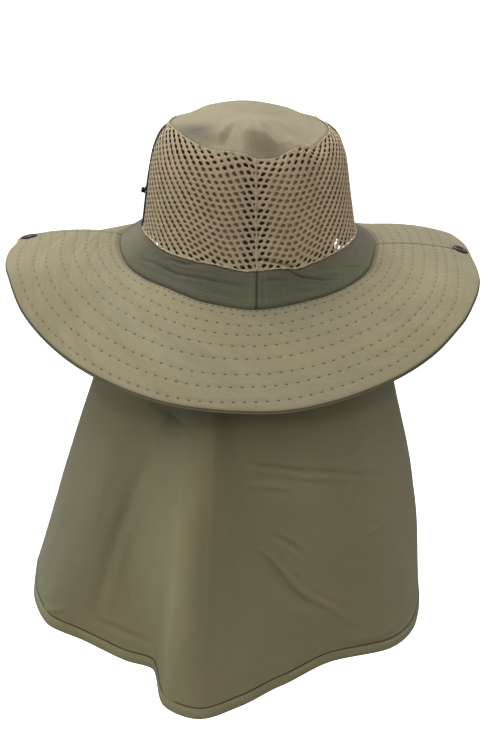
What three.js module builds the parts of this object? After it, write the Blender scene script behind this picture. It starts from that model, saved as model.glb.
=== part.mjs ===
// Wide-brim fishing hat with a neck flap. Millimetres, +Z up, -Y the back of the
// head, +X the wearer's right. The origin is the middle of the head opening, at
// the seam where crown and brim meet. Azimuth is in degrees from +X, so -90 is
// the middle of the back.
import * as THREE from 'three';

const NET = 1.5; // thickness of the net
const BAND = 2.0; // thickness of the cloth band
const BRIM = 2.6; // two layers of brim cloth
const TIP = 1.5; // thickness of the top panel
const FLAP = 1.2; // thickness of the neck flap
const GAP = 0.3; // left between neighbouring pieces
const SEAM_GAP = 0.12; // degrees left at each side of a seam in the crown
const BRIM_GAP = 0.08; // degrees left at each side of a seam in the brim
const BAND_TOP = 14.0; // level of the band's upper edge
const NET_FOOT = 14.6; // level of the net's lower edge
const CROWN_TOP = 86; // level of the seam round the top panel
const TAPE_IN = 1.8; // depth of the inner tapes, outer side
const TAPE_OUT = 2.6; // depth of the inner tapes, inner side
const LINING_IN = 2.9; // depth of the lining, outer side
const LINING_OUT = 3.9; // depth of the lining, inner side
const STRIP = 1.2; // how far the side strips stand out of the net
const HEM = 7.0; // height of the flap's bound edge
const HEM_WALL = 1.0; // thickness of the binding
const HEM_GAP = 0.38; // left between the binding and the cloth it holds
const HEM_ROW = 0.94; // row of the flap that the hem's upper edge stays below

// Crown ovals from the brim seam up: sizes in mm, lean of the wall's normal in degrees.
const LEVEL_ROWS = [
  { level: 0, halfX: 88.0, halfY: 104.0, midX: 0.6, midY: 0.0, saddle: 7.0, tilt: 0.0, lean: 50 },
  { level: 5, halfX: 82.2, halfY: 97.6, midX: 1.0, midY: 0.5, saddle: 5.5, tilt: 0.0, lean: 36 },
  { level: 14.3, halfX: 74.2, halfY: 89.5, midX: 1.4, midY: 1.5, saddle: 2.2, tilt: 0.0, lean: 18 },
  { level: 29, halfX: 71.8, halfY: 87.0, midX: 1.1, midY: 1.5, saddle: 1.5, tilt: 0.0, lean: 10 },
  { level: 42.5, halfX: 70.0, halfY: 85.0, midX: 0.7, midY: 1.0, saddle: 1.5, tilt: 0.0, lean: 8 },
  { level: 54, halfX: 68.5, halfY: 83.4, midX: 0.5, midY: 0.5, saddle: 2.0, tilt: -0.2, lean: 8 },
  { level: 66, halfX: 66.5, halfY: 81.4, midX: 0.5, midY: 0.0, saddle: 2.5, tilt: -0.7, lean: 12 },
  { level: 73, halfX: 64.2, halfY: 79.6, midX: 0.4, midY: 0.0, saddle: 2.9, tilt: -1.3, lean: 20 },
  { level: 80, halfX: 60.5, halfY: 76.6, midX: 0.3, midY: 0.0, saddle: 3.1, tilt: -1.8, lean: 34 },
  { level: 86, halfX: 54.6, halfY: 72.0, midX: 0.0, midY: 0.0, saddle: 3.2, tilt: -2.0, lean: 48 },
];

// Brim by azimuth: reach in plan, height of the rim over the seam, bulge between.
const BRIM_ROWS = [
  { at: -180, reach: 72.2, rise: -1.0, bulge: 4.2 },
  { at: -170, reach: 79.2, rise: 0.3, bulge: 3.2 },
  { at: -160, reach: 85.0, rise: -1.5, bulge: 4.0 },
  { at: -150, reach: 87.0, rise: -13.5, bulge: 4.5 },
  { at: -140, reach: 82.0, rise: -28.0, bulge: 4.0 },
  { at: -130, reach: 77.5, rise: -37.0, bulge: 4.0 },
  { at: -120, reach: 74.6, rise: -41.7, bulge: 4.0 },
  { at: -105, reach: 74.0, rise: -43.8, bulge: 4.0 },
  { at: -90, reach: 74.4, rise: -43.1, bulge: 4.0 },
  { at: -75, reach: 77.0, rise: -38.0, bulge: 4.0 },
  { at: -60, reach: 78.8, rise: -32.4, bulge: 4.5 },
  { at: -50, reach: 80.7, rise: -25.1, bulge: 4.5 },
  { at: -40, reach: 81.2, rise: -16.0, bulge: 4.5 },
  { at: -30, reach: 78.2, rise: -11.0, bulge: 4.5 },
  { at: -20, reach: 74.6, rise: -10.0, bulge: 4.0 },
  { at: -10, reach: 71.8, rise: -12.0, bulge: 4.0 },
  { at: 0, reach: 70.1, rise: -13.2, bulge: 4.0 },
  { at: 10, reach: 71.3, rise: -12.2, bulge: 4.6 },
  { at: 20, reach: 73.5, rise: -12.0, bulge: 4.4 },
  { at: 35, reach: 77.5, rise: -19.5, bulge: 0.8 },
  { at: 50, reach: 80.3, rise: -30.0, bulge: 1.0 },
  { at: 70, reach: 80.0, rise: -38.0, bulge: 4.0 },
  { at: 90, reach: 79.0, rise: -41.0, bulge: 4.0 },
  { at: 110, reach: 79.0, rise: -40.0, bulge: 4.0 },
  { at: 130, reach: 80.0, rise: -34.0, bulge: 0.6 },
  { at: 145, reach: 78.5, rise: -26.0, bulge: 0.0 },
  { at: 160, reach: 74.8, rise: -13.0, bulge: -1.2 },
  { at: 170, reach: 72.0, rise: -6.0, bulge: 3.8 },
];

// How the cloth departs from the ovals, by azimuth: the brim seam pulled out, the net's
// foot raised and the seam round the top panel raised.
const EASE_ROWS = [
  { at: -190, pull: 0.0, foot: 0.0, rim: 0.0 },
  { at: -180, pull: 0.2, foot: 0.0, rim: 0.8 },
  { at: -172, pull: 0.8, foot: 0.1, rim: 2.2 },
  { at: -162, pull: 2.1, foot: 0.9, rim: 3.3 },
  { at: -153, pull: 2.8, foot: 0.6, rim: 3.4 },
  { at: -144, pull: 2.1, foot: 0.2, rim: 2.7 },
  { at: -137, pull: 0.9, foot: 0.6, rim: 2.1 },
  { at: -130, pull: -0.4, foot: 1.1, rim: 1.7 },
  { at: -121, pull: -0.5, foot: 1.8, rim: 1.3 },
  { at: -114, pull: -0.1, foot: 2.2, rim: 2.5 },
  { at: -106, pull: -0.4, foot: 1.5, rim: 3.0 },
  { at: -99, pull: 0.0, foot: 0.5, rim: 3.0 },
  { at: -94, pull: 0.4, foot: 0.2, rim: 1.6 },
  { at: -88, pull: 0.2, foot: 0.8, rim: -0.8 },
  { at: -80, pull: -0.5, foot: 1.3, rim: -1.0 },
  { at: -75, pull: -0.8, foot: 0.9, rim: -0.8 },
  { at: -68, pull: -0.9, foot: -0.5, rim: 1.6 },
  { at: -60, pull: 0.0, foot: 0.7, rim: 3.0 },
  { at: -54, pull: 0.4, foot: 1.2, rim: 3.2 },
  { at: -48, pull: 1.1, foot: 1.6, rim: 0.4 },
  { at: -42, pull: 1.4, foot: 1.7, rim: -0.9 },
  { at: -35, pull: 1.8, foot: 1.4, rim: -0.7 },
  { at: -28, pull: 1.5, foot: 0.9, rim: 0.2 },
  { at: -20, pull: 0.2, foot: 0.3, rim: -0.2 },
  { at: -10, pull: -0.3, foot: -0.5, rim: -1.2 },
  { at: 0, pull: 0.0, foot: 0.0, rim: -1.6 },
  { at: 12, pull: 0.0, foot: 0.0, rim: -1.5 },
  { at: 40, pull: 0.0, foot: 0.0, rim: 0.0 },
  { at: 170, pull: 0.0, foot: 0.0, rim: 0.0 },
];
const PULL_DROP = 0.6; // how far the seam drops for each mm that it is pulled out

// Rises of the top panel: place, radius and height.
const TIP_ROWS = [
  { x: 36, y: -8, radiusX: 10, radiusY: 24, height: 1.4 },
  { x: -2, y: 34, radiusX: 40, radiusY: 34, height: 10.5 },
];
// The top panel falls to its seam at the back. By azimuth: the share of the fall that is
// steep, and the width of that steep part.
const FALL = { x: 5, y: -48, radiusX: 45, radiusY: 42, height: 14.5, width: 45 };
const FALL_ROWS = [
  { at: -190, share: 0, width: 9 },
  { at: -160, share: 0, width: 9 },
  { at: -150, share: 0.3, width: 10 },
  { at: -138, share: 0.5, width: 9 },
  { at: -128, share: 0.8, width: 10 },
  { at: -120, share: 0.9, width: 12 },
  { at: -112, share: 0.25, width: 20 },
  { at: -104, share: 0.25, width: 24 },
  { at: -97, share: 0.8, width: 18 },
  { at: -90, share: 1, width: 15 },
  { at: -84, share: 1, width: 14 },
  { at: -78, share: 0.8, width: 11 },
  { at: -72, share: 0.45, width: 8 },
  { at: -66, share: 0.3, width: 8 },
  { at: -56, share: 0.2, width: 8 },
  { at: -40, share: 0, width: 8 },
  { at: 170, share: 0, width: 9 },
];

// The hanging cloth: four rows of points from its seam down, left edge to right.
const FLAP_ROWS = [
  { down: 0.28,
    points: [[-98, 8, -75], [-103, -12, -76], [-105.3, -40, -76], [-101, -68, -78],
      [-88, -88, -80], [-71, -99, -80], [-56, -106, -80], [-42, -115, -80],
      [-27, -117, -80], [-10, -112, -80], [11, -110, -80], [36, -106, -80],
      [63, -95, -80], [85, -75, -79], [100, -50, -78], [98, -5, -76]] },
  { down: 0.6,
    points: [[-118, 15, -158], [-128, -10, -160], [-130.5, -45, -160], [-122, -80, -160],
      [-103, -102, -160], [-82, -105, -162], [-64, -119, -163], [-48, -133, -165],
      [-30, -134, -167], [-10, -119, -168], [16, -113, -168], [46, -112, -167],
      [81, -98, -165], [106, -72, -164], [119.7, -35, -163], [112, 5, -160]] },
  { down: 1,
    points: [[-139, 18, -231], [-149.2, -10, -234], [-149.6, -50, -235.5],
      [-138, -96, -239.5], [-114, -105, -247], [-86, -119, -255], [-66.5, -127, -258.5],
      [-60.5, -152, -271], [-36, -160, -278], [-8, -147, -276], [21.5, -124, -273.5],
      [58, -110, -262.5], [98, -98, -260], [121.5, -62, -258.5], [130, -10, -256],
      [123, 20, -253]] },
];
const FLAP_SEAM = { inset: 1.4, below: 1.85, from: -178, to: -2 };

const NET_LINES = [14.6, 19, 31, 43, 55, 67, 78, 83, 86];
const FIRST_HOLES = 1; // index of the first line with holes above it
const LAST_HOLES = 6; // index of the line that ends the holes
const NET_COLUMNS = 11; // whole cells in a row of one panel
const PANEL_STEPS = NET_COLUMNS * 2; // steps round half of the crown
const HOLE_HALF_WIDE = 0.68; // of half a cell
const HOLE_HALF_HIGH = 0.36; // of a row
const HOLE_TILT = 0.1; // of a row

const STUD_LEVEL = 39.5;
const SNAP_OUT = 0.88; // place of the brim snap from seam to rim
const SNAP_RADIUS = 6;

// Strips up the sides of the crown, in degrees, with the stud each one carries.
const STRIPS = {
  left: { at: 177, half: 5, stud: 177 },
  right: { at: 14, half: 6, stud: 17 },
};

const FINISHES = {
  khaki: { color: 0x9c9379, roughness: 0.92, metalness: 0 },
  net: { color: 0x9a8768, roughness: 0.9, metalness: 0 },
  lining: { color: 0x6f5c3f, roughness: 0.95, metalness: 0 },
  band: { color: 0x5c5b48, roughness: 0.92, metalness: 0 },
  flap: { color: 0x6c6852, roughness: 0.88, metalness: 0 },
  tape: { color: 0x2a2820, roughness: 0.95, metalness: 0 },
  snap: { color: 0x33241c, roughness: 0.4, metalness: 0.6 },
};

const radians = (degrees) => degrees * Math.PI / 180;
const steps = (count) => Array.from({ length: count + 1 }, (_, i) => i / count);
const between = (a, b, t) => a + (b - a) * t;

// Smooth curve through rows that never overshoots them.
function curve(xs, ys) {
  const last = xs.length - 1;
  const slope = xs.slice(1).map((x, i) => (ys[i + 1] - ys[i]) / (x - xs[i]));
  const tangent = xs.map((_, i) => {
    if (i === 0) return slope[0];
    if (i === last) return slope[last - 1];
    if (slope[i - 1] * slope[i] <= 0) return 0;
    const before = xs[i] - xs[i - 1];
    const after = xs[i + 1] - xs[i];
    const a = 2 * after + before;
    const b = after + 2 * before;
    return (a + b) / (a / slope[i - 1] + b / slope[i]);
  });
  return (x) => {
    let i = 0;
    while (i < last - 1 && x > xs[i + 1]) i += 1;
    const h = xs[i + 1] - xs[i];
    const t = (x - xs[i]) / h;
    const t2 = t * t;
    const t3 = t2 * t;
    return ys[i] * (2 * t3 - 3 * t2 + 1) + tangent[i] * h * (t3 - 2 * t2 + t)
      + ys[i + 1] * (3 * t2 - 2 * t3) + tangent[i + 1] * h * (t3 - t2);
  };
}

const levelKeys = ['halfX', 'halfY', 'midX', 'midY', 'saddle', 'tilt', 'lean'];
const levelOf = Object.fromEntries(levelKeys.map((key) => [
  key, curve(LEVEL_ROWS.map((row) => row.level), LEVEL_ROWS.map((row) => row[key])),
]));

const turned = [-360, 0, 360].flatMap((turn) => BRIM_ROWS.map((row) => ({ ...row, at: row.at + turn })));
const brimOf = Object.fromEntries(['reach', 'rise', 'bulge'].map((key) => [
  key, curve(turned.map((row) => row.at), turned.map((row) => row[key])),
]));

const easeOf = Object.fromEntries(['pull', 'foot', 'rim'].map((key) => [
  key, curve(EASE_ROWS.map((row) => row.at), EASE_ROWS.map((row) => row[key])),
]));
const fallOf = Object.fromEntries(['share', 'width'].map((key) => [
  key, curve(FALL_ROWS.map((row) => row.at), FALL_ROWS.map((row) => row[key])),
]));

// The same azimuth counted from -190 to 170, as those rows are.
const fromLeft = (azimuth) => (((azimuth + 190) % 360) + 360) % 360 - 190;

// 0 below `low`, 1 above `high` and smooth between them.
function smooth(low, high, x) {
  const t = Math.min(1, Math.max(0, (x - low) / (high - low)));
  return t * t * (3 - 2 * t);
}

// A point of the crown wall, `depth` mm inside its outer skin.
function crownPoint(azimuth, level, depth) {
  const a = radians(azimuth);
  const lean = radians(levelOf.lean(level));
  const at = fromLeft(azimuth);
  const pull = easeOf.pull(at) * (1 - smooth(0, BAND_TOP, level));
  const foot = easeOf.foot(at) * smooth(0, BAND_TOP, level) * (1 - smooth(16, 50, level));
  const rim = easeOf.rim(at) * smooth(70, CROWN_TOP, level);
  const inward = depth * Math.cos(lean) - pull;
  return new THREE.Vector3(
    levelOf.midX(level) + (levelOf.halfX(level) - inward) * Math.cos(a),
    levelOf.midY(level) + (levelOf.halfY(level) - inward) * Math.sin(a),
    level + levelOf.saddle(level) * Math.cos(2 * a) + levelOf.tilt(level) * Math.sin(a)
      - depth * Math.sin(lean) - PULL_DROP * pull + foot + rim,
  );
}

// A point of the brim, `out` from 0 at the seam to 1 at the rim.
function brimPoint(azimuth, out, depth) {
  const at = ((azimuth + 180) % 360 + 360) % 360 - 180;
  const foot = crownPoint(azimuth, 0, 0);
  const first = LEVEL_ROWS[0];
  const away = new THREE.Vector3(Math.cos(radians(at)) / first.halfX, Math.sin(radians(at)) / first.halfY, 0);
  away.normalize();
  const reach = brimOf.reach(at);
  const pull = easeOf.pull(fromLeft(azimuth));
  foot.addScaledVector(away, GAP + (reach - GAP - pull) * out);
  foot.z += (brimOf.rise(at) + PULL_DROP * pull) * out + brimOf.bulge(at) * 4 * out * (1 - out) - depth;
  return foot;
}

// Azimuths of the brim's side seams: the right one runs forward on its way out, the
// left one back.
const rightSeam = (out) => -5 + 8 * out;
const leftSeam = (out) => 171 + 8 * out;

function tipPoint(azimuth, out, depth) {
  const rim = crownPoint(azimuth, CROWN_TOP, 0);
  const lean = radians(levelOf.lean(CROWN_TOP));
  const a = radians(azimuth);
  const edge = new THREE.Vector3(
    rim.x - GAP * Math.cos(a) * 1.5,
    rim.y - GAP * Math.sin(a) * 1.5,
    rim.z,
  );
  const x = edge.x * out;
  const y = edge.y * out;
  const fade = Math.min(1, (1 - out * out) * 2.2);
  let height = 0;
  for (const row of TIP_ROWS) {
    const dx = (x - row.x) / row.radiusX;
    const dy = (y - row.y) / row.radiusY;
    height += row.height * Math.exp(-dx * dx - dy * dy);
  }
  const inside = (1 - out) * Math.hypot(edge.x, edge.y);
  const at = fromLeft(azimuth);
  const steep = smooth(0, fallOf.width(at), inside);
  const gentle = smooth(0, FALL.width, inside);
  const fallX = (x - FALL.x) / FALL.radiusX;
  const fallY = (y - FALL.y) / FALL.radiusY;
  const fall = FALL.height * Math.exp(-fallX * fallX - fallY * fallY) * between(gentle, steep, fallOf.share(at));
  const z = between(CROWN_TOP, edge.z, out * out) + 2.5 * (1 - out * out) + height * fade + fall;
  const slant = depth * Math.cos(lean) * out * out;
  return new THREE.Vector3(
    x - slant * Math.cos(a),
    y - slant * Math.sin(a),
    z - depth * between(1, Math.sin(lean), out * out),
  );
}

const columns = Array.from({ length: FLAP_ROWS[0].points.length }, (_, i) => i);
const seamRow = columns.map((i) => {
  const azimuth = between(FLAP_SEAM.from, FLAP_SEAM.to, i / (columns.length - 1));
  const a = radians(azimuth);
  const seam = crownPoint(azimuth, 0, 0);
  return [
    seam.x - FLAP_SEAM.inset * Math.cos(a),
    seam.y - FLAP_SEAM.inset * Math.sin(a),
    seam.z - FLAP_SEAM.below,
  ];
});
const flapRows = [{ down: 0, points: seamRow }, ...FLAP_ROWS];
const flapAlong = flapRows.map((row) => [0, 1, 2].map(
  (axis) => curve(columns, row.points.map((point) => point[axis])),
));

// The outer skin of the flap, `across` and `down` from 0 to 1.
function flapSkin(across, down) {
  const place = across * (columns.length - 1);
  const downs = flapRows.map((row) => row.down);
  const [x, y, z] = [0, 1, 2].map(
    (axis) => curve(downs, flapAlong.map((row) => row[axis](place)))(down),
  );
  return new THREE.Vector3(x, y, z);
}

function flapNormal(across, down) {
  const d = 0.004;
  const a = flapSkin(Math.min(1, across + d), down).sub(flapSkin(Math.max(0, across - d), down));
  const b = flapSkin(across, Math.min(1, down + d)).sub(flapSkin(across, Math.max(0, down - d)));
  return b.cross(a).normalize();
}

const flapPoint = (across, down, depth) => flapSkin(across, down)
  .addScaledVector(flapNormal(across, down), -depth);

// A closed body from points and faces, turned so that its faces look out.
function body(points, faces) {
  let volume = 0;
  for (const [a, b, c] of faces) {
    volume += points[a].dot(new THREE.Vector3().crossVectors(points[b], points[c]));
  }
  const index = faces.flatMap(([a, b, c]) => (volume > 0 ? [a, b, c] : [a, c, b]));
  const geometry = new THREE.BufferGeometry();
  const flat = points.flatMap((point) => [point.x, point.y, point.z]);
  geometry.setAttribute('position', new THREE.Float32BufferAttribute(flat, 3));
  geometry.setIndex(index);
  geometry.computeVertexNormals();
  return geometry;
}

const quad = (a, b, c, d) => [[a, b, c], [a, c, d]];

// A cloth wall between two skins given as point(u, v, side) with side 0 and 1.
function wall(point, us, vs, ring = false) {
  const points = [];
  for (const side of [0, 1]) {
    for (const v of vs) {
      for (const u of us) points.push(point(u, v, side));
    }
  }
  const at = (i, j, side) => side * us.length * vs.length + j * us.length + (i % us.length);
  const across = ring ? us.length : us.length - 1;
  const top = vs.length - 1;
  const faces = [];
  for (let i = 0; i < across; i += 1) {
    for (let j = 0; j < top; j += 1) {
      faces.push(...quad(at(i, j, 0), at(i + 1, j, 0), at(i + 1, j + 1, 0), at(i, j + 1, 0)));
      faces.push(...quad(at(i, j, 1), at(i, j + 1, 1), at(i + 1, j + 1, 1), at(i + 1, j, 1)));
    }
    faces.push(...quad(at(i, 0, 0), at(i, 0, 1), at(i + 1, 0, 1), at(i + 1, 0, 0)));
    faces.push(...quad(at(i, top, 0), at(i + 1, top, 0), at(i + 1, top, 1), at(i, top, 1)));
  }
  if (!ring) {
    for (let j = 0; j < top; j += 1) {
      faces.push(...quad(at(0, j, 0), at(0, j + 1, 0), at(0, j + 1, 1), at(0, j, 1)));
      faces.push(...quad(at(across, j, 0), at(across, j, 1), at(across, j + 1, 1), at(across, j + 1, 0)));
    }
  }
  return body(points, faces);
}

// A soft disc with a middle point: point(azimuth, out, depth).
function disc(point, thickness, count, outs) {
  const points = [];
  const sides = [0, thickness];
  for (const depth of sides) {
    points.push(point(0, 0, depth));
    for (const out of outs) {
      for (let i = 0; i < count; i += 1) points.push(point(i * 360 / count, out, depth));
    }
  }
  const size = 1 + count * outs.length;
  const at = (i, j, side) => side * size + 1 + j * count + (i % count);
  const faces = [];
  for (let i = 0; i < count; i += 1) {
    faces.push([0, at(i, 0, 0), at(i + 1, 0, 0)]);
    faces.push([size, at(i + 1, 0, 1), at(i, 0, 1)]);
    for (let j = 0; j + 1 < outs.length; j += 1) {
      faces.push(...quad(at(i, j, 0), at(i, j + 1, 0), at(i + 1, j + 1, 0), at(i + 1, j, 0)));
      faces.push(...quad(at(i, j, 1), at(i + 1, j, 1), at(i + 1, j + 1, 1), at(i, j + 1, 1)));
    }
    const rim = outs.length - 1;
    faces.push(...quad(at(i, rim, 0), at(i, rim, 1), at(i + 1, rim, 1), at(i + 1, rim, 0)));
  }
  return body(points, faces);
}

// A body swept along sections that are all the same closed outline of points.
function sweep(sections, caps) {
  const count = sections[0].length;
  const points = sections.flat();
  const last = (sections.length - 1) * count;
  const faces = [];
  for (let i = 0; i + 1 < sections.length; i += 1) {
    for (let k = 0; k < count; k += 1) {
      const n = (k + 1) % count;
      faces.push(...quad(i * count + k, i * count + n, (i + 1) * count + n, (i + 1) * count + k));
    }
  }
  for (const [a, b, c, d] of caps) {
    faces.push(...quad(d, c, b, a));
    faces.push(...quad(last + a, last + b, last + c, last + d));
  }
  return body(points, faces);
}

// One pierced panel of the net: `start` azimuth, `turn` 180 or -180 degrees.
function netPanel(start, turn) {
  const halves = PANEL_STEPS;
  const sign = Math.sign(turn);
  const points = [];
  const known = new Map();
  const put = (half, line, side) => {
    const key = `${half.toFixed(4)} ${line.toFixed(4)} ${side}`;
    if (!known.has(key)) {
      known.set(key, points.length);
      const azimuth = between(start + sign * SEAM_GAP, start + turn - sign * SEAM_GAP, half / halves);
      const whole = Math.min(NET_LINES.length - 2, Math.floor(line));
      const level = between(NET_LINES[whole], NET_LINES[whole + 1], line - whole);
      points.push(crownPoint(azimuth, level, side * NET));
    }
    return known.get(key);
  };
  const faces = [];
  const both = (outline) => {
    for (const side of [0, 1]) {
      const [a, b, c, d] = outline.map(([half, line]) => put(half, line, side));
      faces.push(...(side === 0 ? quad(a, b, c, d) : quad(a, d, c, b)));
    }
  };
  const edge = (from, to) => {
    const [a, b] = [put(...from, 0), put(...to, 0)];
    const [c, d] = [put(...to, 1), put(...from, 1)];
    faces.push(...quad(b, a, d, c));
  };
  const top = NET_LINES.length - 1;
  for (let line = 0; line < top; line += 1) {
    const pierced = line >= FIRST_HOLES && line < LAST_HOLES;
    if (!pierced) {
      for (let half = 0; half < halves; half += 1) {
        both([[half, line], [half + 1, line], [half + 1, line + 1], [half, line + 1]]);
      }
      continue;
    }
    const odd = (line - FIRST_HOLES) % 2;
    if (odd) {
      both([[0, line], [1, line], [1, line + 1], [0, line + 1]]);
      both([[halves - 1, line], [halves, line], [halves, line + 1], [halves - 1, line + 1]]);
    }
    for (let middle = odd ? 2 : 1; middle < halves; middle += 2) {
      const outline = [[-1, 0], [0, 0], [1, 0], [1, 1], [0, 1], [-1, 1]]
        .map(([h, l]) => [middle + h, line + l]);
      const wide = HOLE_HALF_WIDE;
      const high = HOLE_HALF_HIGH;
      const hole = [[-wide, -high * 0.55], [0, -high], [wide, -high * 0.55],
        [wide, high * 0.55], [0, high], [-wide, high * 0.55]]
        .map(([h, l]) => [middle + h, line + 0.5 + l + h * HOLE_TILT]);
      for (let k = 0; k < 6; k += 1) {
        const n = (k + 1) % 6;
        both([outline[k], outline[n], hole[n], hole[k]]);
        edge(hole[n], hole[k]);
      }
    }
  }
  for (let half = 0; half < halves; half += 1) {
    edge([half, 0], [half + 1, 0]);
    edge([half + 1, top], [half, top]);
  }
  for (let line = 0; line < top; line += 1) {
    edge([0, line + 1], [0, line]);
    edge([halves, line], [halves, line + 1]);
  }
  return body(points, faces);
}

// A strip of cloth up the crown between two depths.
function crownStrip(azimuth, half, outer, inner, levels, count) {
  return wall(
    (u, level, side) => crownPoint(azimuth + between(-half, half, u), level, side ? inner : outer),
    steps(count),
    levels,
  );
}

function bandHalf(start, turn) {
  const sign = Math.sign(turn);
  const levels = [0, 2.5, 5.5, 9.5, BAND_TOP];
  return wall(
    (u, level, side) => crownPoint(
      between(start + sign * SEAM_GAP, start + turn - sign * SEAM_GAP, u),
      level,
      side * BAND,
    ),
    steps(PANEL_STEPS),
    levels,
  );
}

// Half of the brim between two seams.
function brimHalf(startAt, endAt, count) {
  return wall(
    (u, out, side) => brimPoint(between(startAt(out) + BRIM_GAP, endAt(out) - BRIM_GAP, u), out, side * BRIM),
    steps(count),
    [0, 0.14, 0.34, 0.56, 0.78, 1],
  );
}

function flapSheet() {
  return wall(
    (across, down, side) => flapPoint(across, down, side * FLAP),
    steps(30),
    [0, 0.1, 0.2, 0.3, 0.42, 0.54, 0.66, 0.78, 0.87, HEM_ROW, 1],
  );
}

// The bound edge: a channel of cloth round the flap's lower edge.
function flapHem() {
  const sections = steps(30).map((across) => {
    const foot = flapSkin(across, 1);
    const up = flapSkin(across, HEM_ROW);
    const share = HEM / foot.distanceTo(up);
    const high = foot.clone().lerp(up, share);
    const footNormal = flapNormal(across, 1);
    const highNormal = footNormal.clone().lerp(flapNormal(across, HEM_ROW), share);
    const along = foot.clone().sub(high).normalize();
    const out = HEM_GAP + HEM_WALL;
    const back = -FLAP - HEM_GAP;
    return [
      high.clone().addScaledVector(highNormal, out),
      foot.clone().addScaledVector(footNormal, out).addScaledVector(along, out),
      foot.clone().addScaledVector(footNormal, back - HEM_WALL).addScaledVector(along, out),
      high.clone().addScaledVector(highNormal, back - HEM_WALL),
      high.clone().addScaledVector(highNormal, back),
      foot.clone().addScaledVector(footNormal, back).addScaledVector(along, HEM_GAP),
      foot.clone().addScaledVector(footNormal, HEM_GAP).addScaledVector(along, HEM_GAP),
      high.clone().addScaledVector(highNormal, HEM_GAP),
    ];
  });
  return sweep(sections, [[0, 1, 6, 7], [1, 2, 5, 6], [2, 3, 4, 5]]);
}

// A turned piece standing on a point along a direction.
function turnedPiece(profile, count, foot, axis) {
  const points = profile.map(([radius, height]) => new THREE.Vector2(radius, height));
  const source = new THREE.LatheGeometry(points, count);
  const turn = new THREE.Quaternion().setFromUnitVectors(new THREE.Vector3(0, 1, 0), axis);
  const position = source.getAttribute('position');
  const merged = [];
  const places = new Map();
  const names = [];
  for (let i = 0; i < position.count; i += 1) {
    const point = new THREE.Vector3().fromBufferAttribute(position, i);
    const key = [point.x, point.y, point.z].map((value) => Math.round(value * 1e4)).join(' ');
    if (!places.has(key)) {
      places.set(key, merged.length);
      merged.push(point.applyQuaternion(turn).add(foot));
    }
    names.push(places.get(key));
  }
  const faces = [];
  const index = source.getIndex();
  for (let i = 0; i < index.count; i += 3) {
    const [a, b, c] = [0, 1, 2].map((k) => names[index.getX(i + k)]);
    if (a !== b && b !== c && a !== c) faces.push([a, b, c]);
  }
  return body(merged, faces);
}

const STUD_PROFILE = [[0, 0], [2.4, 0], [2.4, 0.4], [1.1, 0.6], [1.1, 0.8], [1.8, 1.4],
  [1.8, 2.0], [1.1, 2.6], [0, 2.7]];
const SNAP_PROFILE = [[0, 0], [SNAP_RADIUS, 0], [SNAP_RADIUS, 0.8], [5.0, 1.7], [3.4, 1.7],
  [2.6, 0.9], [0, 0.9]];

function stud(azimuth) {
  const foot = crownPoint(azimuth, STUD_LEVEL, -STRIP - GAP);
  const lean = radians(levelOf.lean(STUD_LEVEL));
  const a = radians(azimuth);
  const axis = new THREE.Vector3(Math.cos(a) * Math.cos(lean), Math.sin(a) * Math.cos(lean), Math.sin(lean));
  return turnedPiece(STUD_PROFILE, 10, foot, axis.normalize());
}

function brimSnap(azimuth) {
  const foot = brimPoint(azimuth, SNAP_OUT, 0);
  const along = brimPoint(azimuth + 2, SNAP_OUT, 0).sub(brimPoint(azimuth - 2, SNAP_OUT, 0));
  const outward = brimPoint(azimuth, SNAP_OUT + 0.04, 0).sub(brimPoint(azimuth, SNAP_OUT - 0.04, 0));
  const axis = outward.cross(along).normalize();
  if (axis.z < 0) axis.negate();
  return turnedPiece(SNAP_PROFILE, 16, foot.addScaledVector(axis, GAP), axis);
}

const tapeLevels = [16, 19, 31, 43, 55, 67, 76];
const stripLevels = [16, 31, 43, 55, 61, 67, 70.5, 73, 75.5, 78, 80.5, 83];
const PIECES = [
  { name: 'crown_tip', finish: 'khaki',
    shape: () => disc(tipPoint, TIP, PANEL_STEPS * 2, [0.2, 0.4, 0.56, 0.68, 0.78, 0.87, 0.94, 1]) },
  { name: 'mesh_left', finish: 'net', shape: () => netPanel(-90, -180) },
  { name: 'mesh_right', finish: 'net', shape: () => netPanel(-90, 180) },
  { name: 'crown_lining', finish: 'lining',
    shape: () => wall(
      (u, level, side) => crownPoint(u * 360, level, side ? LINING_OUT : LINING_IN),
      steps(PANEL_STEPS * 2).slice(1),
      tapeLevels,
      true,
    ) },
  { name: 'seam_tape_back', finish: 'tape',
    shape: () => crownStrip(-90, 5.4, TAPE_IN, TAPE_OUT, tapeLevels, 4) },
  { name: 'seam_tape_front', finish: 'tape',
    shape: () => crownStrip(90, 5.4, TAPE_IN, TAPE_OUT, tapeLevels, 4) },
  { name: 'side_tape_left', finish: 'tape',
    shape: () => crownStrip(STRIPS.left.at, STRIPS.left.half, -STRIP, -GAP, stripLevels, 4) },
  { name: 'side_tape_right', finish: 'tape',
    shape: () => crownStrip(STRIPS.right.at, STRIPS.right.half, -STRIP, -GAP, stripLevels, 4) },
  { name: 'stud_left', finish: 'snap', shape: () => stud(STRIPS.left.stud) },
  { name: 'stud_right', finish: 'snap', shape: () => stud(STRIPS.right.stud) },
  { name: 'band_left', finish: 'band', shape: () => bandHalf(-90, -180) },
  { name: 'band_right', finish: 'band', shape: () => bandHalf(-90, 180) },
  { name: 'brim_back', finish: 'khaki', shape: () => brimHalf((out) => leftSeam(out) - 360, rightSeam, 44) },
  { name: 'brim_front', finish: 'khaki', shape: () => brimHalf(rightSeam, leftSeam, 30) },
  { name: 'brim_snap_left', finish: 'snap', shape: () => brimSnap(leftSeam(SNAP_OUT)) },
  { name: 'brim_snap_right', finish: 'snap', shape: () => brimSnap(rightSeam(SNAP_OUT)) },
  { name: 'neck_flap', finish: 'flap', shape: flapSheet },
  { name: 'flap_hem', finish: 'flap', shape: flapHem },
];

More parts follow.
